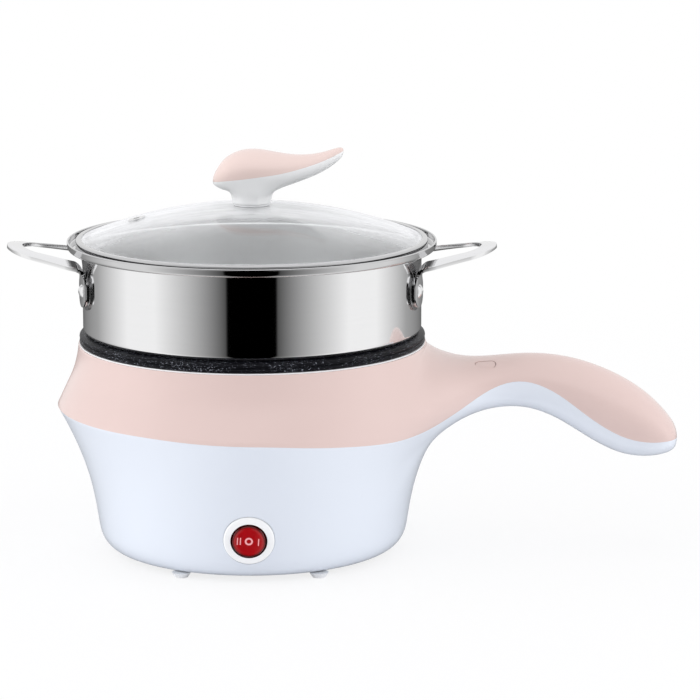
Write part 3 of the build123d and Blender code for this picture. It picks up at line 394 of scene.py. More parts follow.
class NodeSet:
    """The nodes of a material, of the world or of a node group."""

    def __init__(self, owner):
        if not isinstance(owner, bpy.types.NodeTree):
            owner.use_nodes = True
            owner = owner.node_tree
        self.tree = owner
        self.tree.nodes.clear()

    def node(self, kind, settings=None, inputs=None, output=0):
        """Add a node: its settings first, then the values or links of its sockets."""
        node = self.tree.nodes.new(kind)
        for name, value in (settings or {}).items():
            if name == "stops":
                self.set_stops(node.color_ramp.elements, value)
            else:
                setattr(node, name, value)
        for name, value in (inputs or {}).items():
            if isinstance(value, Shade):
                self.tree.links.new(value.socket, node.inputs[name])
            else:
                node.inputs[name].default_value = value
        return Shade(self, node.outputs[output]) if node.outputs else node

    @staticmethod
    def set_stops(elements, stops):
        while len(elements) < len(stops):
            elements.new(0.5)
        for element, (place, level) in zip(elements, stops):
            element.position = place
            element.color = (level, level, level, 1)

    def place(self, scale=(1, 1, 1)):
        """Object coordinates, in metres, stretched by a scale."""
        where = self.node("ShaderNodeTexCoord", output="Object")
        return self.node("ShaderNodeMapping", inputs={"Vector": where, "Scale": scale})

    def parts(self, vector):
        """The three numbers of a vector."""
        first = self.node("ShaderNodeSeparateXYZ", inputs={0: vector})
        return [Shade(self, socket) for socket in first.socket.node.outputs]

    def vector_maths(self, operation, *values, output=0):
        inputs = dict(enumerate(values))
        return self.node("ShaderNodeVectorMath", {"operation": operation}, inputs, output)

    def ramp(self, value, low, high):
        """A value eased from 0 at low to 1 at high."""
        settings = {"interpolation_type": "SMOOTHSTEP"}
        return self.node("ShaderNodeMapRange", settings, {0: value, 1: low, 2: high})

    def noise(self, size, detail=2.0, stretch=(1, 1, 1)):
        """Soft noise whose patches are about size millimetres across."""
        inputs = {"Vector": self.place(stretch), "Scale": 1 / (size * MM), "Detail": detail}
        return self.node("ShaderNodeTexNoise", inputs=inputs)

    def blend(self, factor, first, second):
        """Mix two colours, each linked or three numbers."""
        first, second = [c if isinstance(c, Shade) else (*c, 1) for c in (first, second)]
        inputs = {0: factor, 6: first, 7: second}
        return self.node("ShaderNodeMix", {"data_type": "RGBA"}, inputs, output=2)


class Finish(NodeSet):
    """A surface finish with a Principled shader, whose fixed settings are given by name."""

    def __init__(self, name, **constants):
        self.material = bpy.data.materials.new(name)
        super().__init__(self.material)
        names = {key: key.replace("_", " ").title().replace("Ior", "IOR") for key in constants}
        inputs = {names[key]: value for key, value in constants.items()}
        self.shader = self.node("ShaderNodeBsdfPrincipled", inputs=inputs)
        self.output = self.node("ShaderNodeOutputMaterial", inputs={"Surface": self.shader})

    def feed(self, name, value):
        """Link a value to one of the shader's sockets."""
        self.tree.links.new(value.socket, self.shader.socket.node.inputs[name])

    def paint_sheen(self, amount, colour):
        """Lay a painted sheen over the surface: a dull pale layer that stands in for reflected
        light.
        """
        sheen = self.node("ShaderNodeBsdfDiffuse", inputs={"Color": (*colour, 1)})
        mixed = self.node("ShaderNodeMixShader", inputs={0: amount, 1: self.shader, 2: sheen})
        self.tree.links.new(mixed.socket, self.output.inputs["Surface"])

    def bump(self, height, depth):
        """Raise the surface by height, 0 to 1, times a depth in millimetres."""
        inputs = {"Height": height, "Distance": depth * MM, "Strength": 1.0}
        self.feed("Normal", self.node("ShaderNodeBump", inputs=inputs))


def darker(colour, factor):
    return tuple(c * factor for c in colour)


def patchy(name, first, second, tint, gloss, relief=None, **constants):
    """A finish that varies softly between two colours and two roughnesses.

    tint is (noise, share of the second colour), gloss is (noise, spread, least roughness) and
    relief is (noise, depth), where a noise is (size, detail, stretch).
    """
    finish = Finish(name, **constants)
    pattern, share = tint
    finish.feed("Base Color", finish.blend(finish.noise(*pattern) * share, first, second))
    pattern, spread, least = gloss
    finish.feed("Roughness", finish.noise(*pattern) * spread + least)
    if relief:
        pattern, depth = relief
        finish.bump(finish.noise(*pattern), depth)
    return finish.material


def moulded_plastic(name, colour):
    """Glossy moulded plastic: faint flow marks, and slow changes of gloss."""
    flow, gloss, grain = ((38, 2.0, (1, 1, 0.5)), 0.5), ((9, 4.0), 0.08, 0.2), ((0.9, 3.0), 0.006)
    coat = {"coat_weight": 0.12, "coat_roughness": 0.12, "specular_ior_level": 0.45}
    return patchy(name, colour, darker(colour, 0.975), flow, gloss, grain, **coat)


RUBBING = (26, 5.0, (1, 1, 14))               # marks of polishing, round the pot
RUBBED_SHARE = 0.6
SMEARS = (14, 3.0)
POLISH_RELIEF = ((60, 1.0), 0.02)
POLISHED, RUBBED = (0.86, 0.86, 0.865), (0.82, 0.82, 0.825)


def polished_steel(name, tint=POLISHED, rough=0.05):
    """Mirror-polished sheet with faint rubbing marks round the pot."""
    tints = (RUBBING, RUBBED_SHARE)
    gloss = (SMEARS, 0.05, rough)
    return patchy(name, tint, darker(tint, 0.95), tints, gloss, POLISH_RELIEF, metallic=1.0)


def bowl_steel(name):
    """Mirror-polished outside, brushed satin inside and under the bowl, with painted shade greying
    the rim.
    """
    finish = Finish(name, metallic=1.0)
    across, along, _ = finish.parts(finish.place())
    from_axis = (across * across + along * along) ** 0.5
    inside = from_axis < BAND_INSIDE * MM
    sheet = finish.blend(finish.noise(*RUBBING) * RUBBED_SHARE, POLISHED, RUBBED)
    # painted shade: the rim takes a greyer tint than the rest of the same polished sheet
    finish.feed("Base Color", finish.blend(from_axis > RIM_INSIDE * MM, sheet, RIM_PAINTED_SHADE))
    smears = finish.noise(*SMEARS)
    finish.feed("Roughness", smears * 0.03 + 0.035 + inside * (smears * 0.15 + 0.22))
    pattern, depth = POLISH_RELIEF
    finish.bump(finish.noise(*pattern), depth)
    return finish.material


def plain_steel(name):
    """Zinc-plated steel: a fine grain and patches of duller plating."""
    patches = (4, 4.0)
    bright, dull = (0.62, 0.62, 0.61), (0.5, 0.5, 0.5)
    grain = ((0.4, 2.0), 0.01)
    return patchy(name, bright, dull, (patches, 1), (patches, 0.2, 0.26), grain, metallic=1.0)


def cast_aluminium(name):
    """Bare casting with a pitted skin."""
    skin = (1.2, 5.0)
    bright, dull = (0.66, 0.67, 0.68), (0.5, 0.51, 0.52)
    return patchy(name, bright, dull, (skin, 1), (skin, 0.25, 0.4), (skin, 0.12), metallic=1.0)


def brass(name):
    """Stamped brass with a slight tarnish."""
    tarnish = (3, 4.0)
    bright, dull = (0.78, 0.58, 0.28), (0.52, 0.37, 0.18)
    return patchy(name, bright, dull, (tarnish, 1), (tarnish, 0.2, 0.22), metallic=1.0)


def stone_coating(name, colour):
    """Black non-stick coating strewn with pale mineral flecks."""
    finish = Finish(name, specular_ior_level=0.1)
    drifts = finish.noise(24, 1.0)
    fine = finish.noise(0.55, 2.0) > 0.76 - drifts * 0.18
    coarse = finish.noise(1.3, 3.0) > 0.7
    flecks = fine.maths("MAXIMUM", fine, coarse * 0.6)
    finish.feed("Base Color", finish.blend(flecks * 0.8, colour, FLECK))
    finish.feed("Roughness", 0.4 - flecks * 0.12)
    finish.bump(finish.noise(0.7, 3.0), 0.02)
    return finish.material


def from_switch_axis(finish):
    """Distance from the switch's axis, in metres."""
    offset = finish.vector_maths("SUBTRACT", finish.place(), SWITCH_PLACE * MM)
    across = finish.vector_maths("CROSS_PRODUCT", offset, SWITCH_OUTWARD)
    return finish.vector_maths("LENGTH", across, output="Value")


def bezel_plastic(name, colour):
    """White bezel whose well, round the switch's axis, is painted dark red inside: painted shade
    and red bounce light in the gap round the rocker.
    """
    finish = Finish(name, specular_ior_level=0.45)
    inside = from_switch_axis(finish) < WELL_RADIUS * MM
    flow = finish.noise(20, 2.0)
    white = finish.blend(flow * 0.4, colour, darker(colour, 0.97))
    # painted shade: inside the well the white turns dark red, for the shadow and the red light
    # bounced in the gap round the rocker
    finish.feed("Base Color", finish.blend(inside, white, WELL_PAINTED_SHADE))
    finish.feed("Roughness", flow * 0.08 + 0.2 + inside * 0.3)
    return finish.material


def red_rocker(name, colour):
    """Tinted clear plastic, deeper in patches, and darkened by painted shade towards its rim where
    it sinks into the bezel's well.
    """
    finish = Finish(name, coat_weight=0.4, coat_roughness=0.06, specular_ior_level=0.4)
    depth = finish.noise(5, 2.0)
    body = finish.blend(depth, colour, darker(colour, 0.7))
    # painted shade: the red darkens towards the rocker's rim, where it sits in the shadow of the
    # bezel's well
    rim = finish.ramp(from_switch_axis(finish), ROCKER_SHADE_RADII[0] * MM, ROCKER_SHADE_RADII[1] * MM)
    finish.feed("Base Color", finish.blend(rim, body, darker(colour, 0.16)))
    finish.feed("Roughness", depth * 0.06 + 0.14)
    return finish.material


def printed_mark(name, colour):
    """Pad-printed marks, a little uneven."""
    wear = (0.6, 2.0)
    return patchy(name, colour, darker(colour, 0.85), (wear, 0.5), (wear, 0.15, 0.35))


def soft_rubber(name, colour):
    """Matte silicone with a dusty skin."""
    dust = (1.6, 4.0)
    dusty, gloss = darker(colour, 0.88), (dust, 0.15, 0.55)
    return patchy(name, colour, dusty, (dust, 0.5), gloss, (dust, 0.02), specular_ior_level=0.35)


def black_plastic(name):
    """Matte filled plastic with an eroded mould texture."""
    grain = (0.5, 3.0)
    deep, worn = (0.02, 0.02, 0.021), (0.035, 0.035, 0.036)
    gloss = (grain, 0.2, 0.4)
    return patchy(name, deep, worn, (grain, 1), gloss, (grain, 0.03), specular_ior_level=0.45)


def clear_glass(name):
    """Tempered glass, clear from the front, with painted reflection where it is seen at a slant: a
    pale diffuse layer standing in for the dome's bright sheen.
    """
    finish = Finish(name, transmission_weight=1.0, ior=1.45, base_color=GLASS_TINT)
    finish.feed("Roughness", finish.noise(24, 4.0) * 0.02 + 0.004)
    slant = finish.node("ShaderNodeLayerWeight", inputs={"Blend": 0.5}, output="Facing")
    uneven_sheen = finish.noise(16, 3.0, (0.35, 1.6, 1))
    # painted reflection: the pale layer comes up at slants, uneven in patches
    finish.paint_sheen(finish.ramp(slant, *SHEEN_SLANTS) * (uneven_sheen * 0.9 + 0.16), SHEEN_TINT)
    return finish.material


FLECK = (0.45, 0.47, 0.54)                    # of mineral in the pan's coating
# painted shade and red bounce light in the switch's well
WELL_PAINTED_SHADE = (0.075, 0.002, 0.006)
# painted shade: greyer tint for the bowl's rim
RIM_PAINTED_SHADE = (0.62, 0.62, 0.625)
GLASS_TINT = (0.97, 0.985, 0.985, 1)
# tint of the painted sheen on the glass
SHEEN_TINT = (0.96, 0.965, 0.98)
SHEEN_SLANTS = (0.57, 0.87)                    # slants between which the painted sheen comes up
FINISHES = {}


class MakeFinishes(bpy.types.Operator):
    """Make every finish from the colours."""

    bl_idname = "hotpot.finishes"
    bl_label = "Finishes"

    def execute(self, context):
        colours = context.scene.hotpot_colours
        FINISHES.update(
            white=moulded_plastic("white_plastic", colours.white),
            pink=moulded_plastic("pink_plastic", colours.pink),
            clear_white=moulded_plastic("clear_white_plastic", colours.clear_white),
            bezel=bezel_plastic("bezel_plastic", colours.clear_white),
            knob_pink=moulded_plastic("knob_pink_plastic", colours.knob_pink),
            red=red_rocker("red_plastic", colours.red),
            mark=printed_mark("printed_mark", colours.mark),
            coating=stone_coating("nonstick", colours.coating),
            polished=polished_steel("polished_steel"),
            bowl=bowl_steel("bowl_steel"),
            satin=polished_steel("satin_steel", (0.8, 0.8, 0.8), 0.13),
            # shaded: painted shade, a dark copy of the polished steel for the loops' brackets,
            # standing in for the dark reflections there
            shaded=polished_steel("shaded_steel", (0.3, 0.3, 0.305), 0.2),
            # edging: painted shade, a greyer copy of the polished steel for the lid's hoop
            edging=polished_steel("edging_steel", (0.6, 0.6, 0.605), 0.06),
            steel=plain_steel("plain_steel"),
            aluminium=cast_aluminium("cast_aluminium"),
            brass=brass("brass"),
            rubber=soft_rubber("silicone", colours.rubber),
            black=black_plastic("black_plastic"),
            glass=clear_glass("glass"),
        )
        return {"FINISHED"}


# ---------------------------------------------------------------- housing

COLUMNS = 48                  # of the wall's cage, round the pot
GROW = cage_growth(COLUMNS)
SEAM_ROW = 78.0
ROW_SLACK = 0.1
WALL_ROWS = (                 # (height, radius) up the wall, from the floor's edge to the neck
    *((2.5, 70.3), (2.5, 73.2), (4.8, 78.2), (9.8, 81.6), (15.0, 82.7), (24.0, 84.0)),
    *((34.0, 85.9), (44.0, 88.6), (54.0, 92.2), (62.0, 95.7), (70.0, 99.6), (78.0, 104.0)),
    *((88.0, 99.66), (98.0, 95.16), (108.0, 93.01), (112.6, 92.6)),
)
WALL_CORNER = 2               # the row where the upright wall starts
WINDOW_LOW, WINDOW_HIGH = 54.0, 108.0         # rows between which the handle grows out
WINDOW_COLUMNS = 4.25         # columns each side of the handle, and a little more
ROOT_OVAL = (84.0, 27.0, 48.0)                # the window's centre height, rise and half width
EASED_FROM = 60.0             # the wall farther along X than this eases into the window
EASED_LOW, EASED_HIGH = 40.0, 112.0
EASED_OFF_SEAM = 0.5          # but not what lies nearer to the seam than this
EASING_PASSES = 3
SEAM_DIP = ((10.0, 78.0), (49.0, 74.7), (80.0, 72.0), (90.4, 72.4))
# how much the seam rises on the side away from the handle, and how that dies out with height
SEAM_LIFT = ((-104.0, 2.2), (-52.0, 1.8), (-20.0, 0.4), (0.0, 0.0))
LIFT_SPREAD = ((20.0, 0.0), (78.0, 1.0), (108.0, 0.0))
HANDLE_SECTIONS = (           # (x, top, seam, underside, half width)
    (100.3, 106.6, 75.3, 64.4, 37.0),
    (111.4, 103.9, 81.0, 71.4, 27.4),
    (122.5, 103.9, 88.6, 75.8, 20.7),
    (134.8, 105.2, 94.0, 77.9, 17.4),
    (147.8, 106.2, 94.5, 77.4, 16.8),
    (163.2, 105.3, 87.5, 71.5, 17.8),
    (179.2, 101.6, 74.2, 60.6, 19.4),
    (195.9, 94.6, 63.8, 51.6, 20.4),
    (210.0, 85.6, 60.8, 50.0, 20.0),
    (219.9, 75.8, 61.2, 51.5, 17.6),
    (225.9, 68.0, 61.6, 54.0, 12.4),
)
HANDLE_TIP = (227.8, 60.8)
SEAM_LINE = tuple(SEAM_DIP) + tuple((s[0], s[2]) for s in HANDLE_SECTIONS) + (HANDLE_TIP,)
OUTSIDE = 20.0                # how far the switch's cutters reach out of the wall
BORE_DEPTH = 20.0
RECESS_DEPTH = 1.5
PLUG_GAP = 0.4
PLUG_SLOT = (-3.0, 12.0)      # from the plug's underside, down and up
SCREW_PLACES = (147.8, 195.9)
SCREW_RECESS = 3.4
SCREW_RECESS_LOW, SCREW_RECESS_TOP = 40.0, 80.0
INLET_PLACE = (0, 85.4, 30.0)
INLET_LEAN = radians(13.3)
INLET_FLANGE_MARGIN = 3.4
INLET_CUT_DEPTH = 30.0
INLET_CUT_HEIGHT = 20.6


def wall_radius(height):
    """Radius of the outside wall at a height above its corner."""
    return between(WALL_ROWS[WALL_CORNER:], height)


def put_on_wall(vert, height):
    """Move a vertex in or out to the wall, at a height."""
    scale = wall_radius(height) * GROW / vert.co.xy.length
    vert.co = (vert.co.x * scale, vert.co.y * scale, height)


def on_wall(y, z):
    """Point of the handle's side of the wall at a place across and a height."""
    radius = wall_radius(z) * GROW
    return (sqrt(max(radius**2 - y**2, 0)), y, z)


def on_seam_row(vert):
    return abs(vert.co.z - SEAM_ROW) < ROW_SLACK


def open_window(bm):
    """Open the wall where the handle grows out; returns the window's rim and its upper faces."""
    half = WINDOW_COLUMNS * FULL_TURN / COLUMNS

    def in_window(co):
        low, high = WINDOW_LOW - ROW_SLACK, WINDOW_HIGH + ROW_SLACK
        return abs(atan2(co.y, co.x)) < half and low < co.z < high

    window = [f for f in bm.faces if all(in_window(v.co) for v in f.verts)]
    bmesh.ops.delete(bm, geom=window, context="FACES")
    verts = {v for e in bm.edges if len(e.link_faces) == 1 for v in e.verts if in_window(v.co)}
    start = max((v for v in verts if on_seam_row(v)), key=lambda v: v.co.y)

    def heading(v):
        return atan2(v.co.z - ROOT_OVAL[0], v.co.y)

    first = heading(start)
    rim = sorted(verts, key=lambda v: (heading(v) - first + 1e-6) % FULL_TURN)
    above = next(i for i, v in enumerate(rim) if on_seam_row(v) and v.co.y < 0)
    return rim, above


def ease_wall(bm, rim):
    """Let the wall's own vertices beside the window follow its outline."""
    near = [v for v in bm.verts if v.co.x > EASED_FROM and EASED_LOW < v.co.z < EASED_HIGH]
    near = [v for v in near if v not in rim and all(len(e.link_faces) == 2 for e in v.link_edges)]
    near = [v for v in near if abs(v.co.z - between(SEAM_DIP, v.co.x)) > EASED_OFF_SEAM]
    axes = {"use_axis_x": True, "use_axis_y": True, "use_axis_z": True}
    for _ in range(EASING_PASSES):
        bmesh.ops.smooth_vert(bm, verts=near, factor=0.5, **axes)
        for vert in near:
            put_on_wall(vert, vert.co.z)


def housing_cage():
    """The cage of both shells: a turned wall with the handle drawn out of a window in it."""
    wall = [(radius * GROW, height) for height, radius in WALL_ROWS]
    bm = turned(wall, COLUMNS, closed=False)
    rim, above = open_window(bm)
    below = len(rim) - above
    for vert in bm.verts:
        if on_seam_row(vert) and vert.co.x > SEAM_DIP[0][0]:
            put_on_wall(vert, between(SEAM_DIP, vert.co.x))

    middle, rise, half_width = ROOT_OVAL
    root = (0, middle + rise, rim[0].co.z, middle - rise, half_width)
    place = oval_place(root, above, below)
    for index, vert in enumerate(rim):
        vert.co = on_wall(*place(index)[1:])
    for index in (0, above):
        rim[index].co = on_wall(rim[index].co.y, between(SEAM_DIP, rim[index].co.x))
    ease_wall(bm, rim)

    ring = rim
    for section in HANDLE_SECTIONS:
        ring = extend(bm, ring, oval_place(section, above, below))
    extend(bm, ring, lambda index: (HANDLE_TIP[0], 0, HANDLE_TIP[1]))
    for vert in bm.verts:
        vert.co.z += between(SEAM_LIFT, vert.co.x) * between(LIFT_SPREAD, vert.co.z)
    bmesh.ops.remove_doubles(bm, verts=bm.verts, dist=0.01)
    bmesh.ops.recalc_face_normals(bm, faces=bm.faces)
    return bm


class BuildHousing(bpy.types.Operator):
    """Build the white and the pink shell."""

    bl_idname = "hotpot.housing"
    bl_label = "Housing"

    def execute(self, context):
        sizes = millimetres(context.scene.hotpot_housing)
        for part, finish, cutters in (
            ("upper", "pink", [self.plug_cutter()]),
            ("lower", "white", self.lower_cutters(sizes)),
        ):
            cage = housing_cage()
            keep_side(cage, SEAM_LINE, part == "upper")
            shell = object_from(cage, part + "_shell")
            give_wall(shell, sizes.wall, levels=2, edge=sizes.groove)
            cut(shell, cutters)
            dress(shell, finish, "base", finish + "_plastic", part + "_housing")
        return {"FINISHED"}

    @staticmethod
    def plug_cutter():
        """Oval cutter a little larger than the plug, down through the handle's shell."""
        low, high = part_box("handle_plug")
        half_length, half_width = (high.x - low.x) / 2 / MM, (high.y - low.y) / 2 / MM
        bottom, top = [low.z / MM + reach for reach in PLUG_SLOT]
        bm = drum(half_width + PLUG_GAP, bottom, top)
        for vert in bm.verts:
            vert.co.x += (half_length - half_width) * (1 if vert.co.x > 0 else -1)
        middle = (low + high) / 2 / MM
        return moved(bm, (middle.x, middle.y, 0))

    @staticmethod
    def lower_cutters(sizes):
        """Cutters for the switch, its recess, the inlet and the handle's screws."""
        low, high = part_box("power_inlet")
        inlet_width = (high.x - low.x) / MM - INLET_FLANGE_MARGIN
        inlet = block((inlet_width, INLET_CUT_DEPTH, INLET_CUT_HEIGHT))
        tilt = Matrix.Rotation(-INLET_LEAN, 3, "X")
        bore = drum(sizes.switch_hole, -BORE_DEPTH, OUTSIDE)
        recess = drum(sizes.switch_recess, -RECESS_DEPTH, OUTSIDE)
        cutters = [on_axis(hole, SWITCH_PLACE, SWITCH_OUTWARD) for hole in (bore, recess)]
        cutters.append(moved(inlet, INLET_PLACE, tilt))
        for x in SCREW_PLACES:
            screw = drum(SCREW_RECESS, SCREW_RECESS_LOW, SCREW_RECESS_TOP)
            cutters.append(moved(screw, (x, 0, 0)))
        return cutters


# ---------------------------------------------------------------- switch

SWITCH_PLACE = Vector((0, -84.18, 24.3))
SWITCH_OUTWARD = Vector((0, -0.98217, -0.18799))
SWITCH_UP = Vector((0, -0.18799, 0.98217))
PIVOT_DEPTH = 0.8
WELL_RADIUS = 9.55            # a little over the bore that the rocker sits in; inside it the bezel takes painted shade
ROCKER_BALL = 9.0
ROCKER_FACE = 3.0             # from the pivot to the rims of the face
ROCKER_TAIL = 4.0
ROCKER_DISH = 34.0            # radius of the dished face
ROCKER_LIP = ((-1.3, 0.0), (-1.0, 0.16), (-0.35, 0.16), (0.0, -0.1))     # from the face's edge
LIP_DEPTH = 0.2               # what lies higher than this under the face bends with the dish
ROCKER_STEPS = 8
ROCKER_SHADE_RADII = (7.2, 8.5)       # radii between which painted shade deepens the rocker's red towards its rim
MARK_TURN = radians(-3.5)     # how far the switch sits turned in its hole
MARK_PLACES = ((-5.9, "bar"), (-4.35, "bar"), (0.0, "ring"), (5.0, "bar"))
BAR_SHARE = 0.72              # thickness of a bar, over that of the ring
RING_EXTRA = 0.15             # how far the ring stands over the bars, and how much thicker it is


def to_switch(bm):
    """Move a bmesh drawn with +Z outwards and +Y up into the switch's face."""
    right = SWITCH_UP.cross(SWITCH_OUTWARD)
    turning = Matrix((right, SWITCH_UP, SWITCH_OUTWARD)).transposed()
    return moved(bm, SWITCH_PLACE - SWITCH_OUTWARD * PIVOT_DEPTH, turning)


def ball_radius(height):
    """Radius of the rocker's ball at a height over its pivot."""
    return sqrt(ROCKER_BALL**2 - height**2)


def dish_height(x):
    """Height of the rocker's dished face over its pivot."""
    edge = ball_radius(ROCKER_FACE)
    return ROCKER_FACE - (sqrt(ROCKER_DISH**2 - x**2) - sqrt(ROCKER_DISH**2 - edge**2))


class BuildSwitch(bpy.types.Operator):
    """Build the rocker and its marks."""

    bl_idname = "hotpot.switch"
    bl_label = "Switch"

    def execute(self, context):
        sizes = millimetres(context.scene.hotpot_switch)
        rocker = object_from(to_switch(self.rocker()), "rocker_button")
        dress(rocker, "red", "switch_rocker", "red_plastic", "rocker")
        marks = object_from(to_switch(self.marks(sizes)), "rocker_marks")
        dress(marks, "mark", "switch_rocker", "red_plastic")
        return {"FINISHED"}

    @staticmethod
    def rocker():
        """Slice of a ball with a raised lip round its dished face."""
        edge, depth = ball_radius(ROCKER_FACE), ROCKER_FACE + ROCKER_TAIL
        outline = [(edge * step / ROCKER_STEPS, ROCKER_FACE) for step in range(ROCKER_STEPS - 1)]
        outline += [(edge + out, ROCKER_FACE + up) for out, up in ROCKER_LIP]
        heights = [ROCKER_FACE - depth * step / ROCKER_STEPS for step in range(1, ROCKER_STEPS)]
        outline += [(ball_radius(height), height) for height in heights]
        outline += [(ball_radius(ROCKER_TAIL), -ROCKER_TAIL), (0, -ROCKER_TAIL)]
        bm = turned(outline, 72, closed=False)
        for vert in bm.verts:
            if vert.co.z > ROCKER_FACE - LIP_DEPTH:
                drop = ROCKER_FACE - vert.co.z
                vert.co.z = dish_height(vert.co.x) - drop
        return bm

    @staticmethod
    def marks(sizes):
        """Two bars, a ring and a bar, laid on the dished face."""
        bm = bmesh.new()
        lift = sizes.mark_relief
        outer = sizes.mark_height / 2 + RING_EXTRA
        inner = outer - sizes.mark_line - RING_EXTRA
        for place, kind in MARK_PLACES:
            if kind == "bar":
                mark = block((sizes.mark_line * BAR_SHARE, sizes.mark_height, 2 * lift))
            else:
                mark = turned([(inner, -lift), (outer, -lift), (outer, lift), (inner, lift)], 40)
            take_in(bm, moved(mark, (place, 0, 0)))
        turning = Matrix.Rotation(MARK_TURN, 3, "Z")
        bmesh.ops.rotate(bm, cent=(0, 0, 0), matrix=turning, verts=bm.verts)
        for vert in bm.verts:
            vert.co.z += dish_height(vert.co.x)
        return bm


# ---------------------------------------------------------------- pan

PAN_LOW, PAN_SEAT = 50.0, 119.2
PAN_SHEET = 3.0
PAN_INSIDE = (80.0, 84.8)     # radii at the floor and at the seat
PAN_OUTSIDE = (82.2, 87.0)    # radii at the floor and under the rim
PAN_LIP, PAN_RIM = 87.4, 90.75
RIM_LOW, RIM_BEAD = 113.3, 2.5
BEAD_STEPS = 8


class BuildPan(bpy.types.Operator):
    """Build the coated pan with its two-beaded rim."""

    bl_idname = "hotpot.pan"
    bl_label = "Pan"

    def execute(self, context):
        bead = RIM_BEAD / 2
        outline = [
            (0, PAN_LOW + PAN_SHEET),
            (PAN_INSIDE[0], PAN_LOW + PAN_SHEET, 11.0),
            (PAN_INSIDE[1], PAN_SEAT, 0.5),
            (PAN_LIP, PAN_SEAT, 0.4),
            (PAN_RIM, RIM_LOW + 2 * RIM_BEAD),
            *self.bead_points(RIM_LOW + 3 * bead),
            *self.bead_points(RIM_LOW + bead),
            (PAN_RIM, RIM_LOW),
            (PAN_OUTSIDE[1], RIM_LOW),
            (PAN_OUTSIDE[0], PAN_LOW, 12.0),
            (0, PAN_LOW),
        ]
        pan = object_from(turned(outline, 160), "pan")
        dress(pan, "coating", "base", "nonstick", "inner_pan", angle=50)
        return {"FINISHED"}

    @staticmethod
    def bead_points(middle):
        """Points down the outside of a bead, between its two roots."""
        bead = RIM_BEAD / 2
        angles = [pi / 2 - pi * step / BEAD_STEPS for step in range(1, BEAD_STEPS)]
        return [(PAN_RIM + bead * cos(a), middle + bead * sin(a)) for a in angles]


# ---------------------------------------------------------------- steamer

ROUND_STEPS = 192             # faces round the steamer and the lid
STEAMER_FLOOR = 111.75
FLOOR_JOIN = 76.0
HOLE_RINGS = 5
NECK_MIDDLE = 83.2
STEP_HEIGHT = 119.75
BAND_INSIDE = 89.5            # surfaces nearer the axis than this are the bowl's inside
RIM_INSIDE = 91.5             # and those farther out than this are its rim, greyed by painted shade
LEDGE_HEIGHT = 163.9
LEDGE_BEND = 1.5
STEAMER_TOP = 168.0


class BuildSteamer(bpy.types.Operator):
    """Build the steamer's bowl, rolled rim and perforated floor."""

    bl_idname = "hotpot.steamer"
    bl_label = "Steamer"

    def execute(self, context):
        sizes = millimetres(context.scene.hotpot_steamer)
        band = sizes.band - sizes.sheet / 2
        lip = sizes.rim - sizes.roll
        line = [
            (FLOOR_JOIN, STEAMER_FLOOR),
            (NECK_MIDDLE, STEAMER_FLOOR, 2.4),
            (NECK_MIDDLE, STEP_HEIGHT, 0.8),
            (band, STEP_HEIGHT, 2.4),
            (band, LEDGE_HEIGHT, LEDGE_BEND),
            (lip, LEDGE_HEIGHT, LEDGE_BEND),
            (lip, STEAMER_TOP - sizes.roll),
        ]
        bowl = object_from(turned(line, ROUND_STEPS, segments=8, closed=False), "steamer_body")
        give_wall(bowl, sizes.sheet, 0.0)
        floor = object_from(self.floor(sizes), "steamer_floor")
        give_wall(floor, sizes.sheet, 0.0)
        roll = bmesh.new()
        circle(roll, 16, sizes.roll, (lip, 0, STEAMER_TOP - sizes.roll), upright=True)
        turn(roll, ROUND_STEPS)
        self.join(bowl, [floor, object_from(roll, "steamer_roll")])
        dress(bowl, "bowl", "steamer", "polished_steel", "steamer_bowl")
        return {"FINISHED"}

    @staticmethod
    def floor(sizes):
        """Flat floor with rings of round holes."""
        bm = bmesh.new()
        circle(bm, ROUND_STEPS, FLOOR_JOIN, (0, 0, STEAMER_FLOOR))
        for ring in range(HOLE_RINGS):
            count = max(1, 6 * ring)
            for number in range(count):
                angle = FULL_TURN * number / count
                x, y = ring * sizes.pitch * cos(angle), ring * sizes.pitch * sin(angle)
                circle(bm, 24, sizes.hole, (x, y, STEAMER_FLOOR))
        bmesh.ops.triangle_fill(bm, use_beauty=True, use_dissolve=False, edges=bm.edges[:])
        bmesh.ops.recalc_face_normals(bm, faces=bm.faces)
        return bm

    @staticmethod
    def join(target, others):
        """Make other objects part of a target object's mesh."""
        bm = bmesh.new()
        bm.from_mesh(target.data)
        for other in others:
            bm.from_mesh(other.data)
            bpy.data.objects.remove(other)
        bm.to_mesh(target.data)
        bm.free()


# ---------------------------------------------------------------- loop handles

PAD_ACROSS = 27.5             # from the middle of the loop to the middle of a pad
PAD_WIDE = 12.6
PAD_FOOT = 136.0
PAD_SHOULDER = 148.5
PAD_NECK = 152.9
ROUND_SLACK = 0.05            # what a full rounding falls short of half the width
LOOP_RISE = radians(4.5)      # of the arms, apart from the curve that they share with the band
LOOP_TIP = (129.9, 164.6)     # middle of the bar at the tip
LOOP_TIP_WIDTH = 8.0
LOOP_OUTER_ENDS = (31.2, 15.5)                # half widths at the band and at the tip
LOOP_INNER_ENDS = (23.3, 10.9)
LOOP_EDGE, BRACKET_EDGE = 0.55, 0.25
BEND_PITCH, CURVE_PITCH = 0.7, 1.9            # of the cuts that let the loops bend and curve
BRACKET_PITCH = 2.0
BRACKET_MARGIN = 1.6
BRACKET_TOP = 160.6
BRACKET_TOP_WIDTH = 24.0
BRACKET_LEG_WIDTH = 7.0
RIVET_HEIGHT = 144.6
RIVET_HEAD = (3.7, 1.8)       # radius and rise
RIVET_SHANK = (2.0, 4.6)      # radius, and depth to the tail
RIVET_TAIL = (3.4, 5.6)       # radius, and depth to its end
CRISP = 50                    # degrees past which a steel or glass edge stays crisp


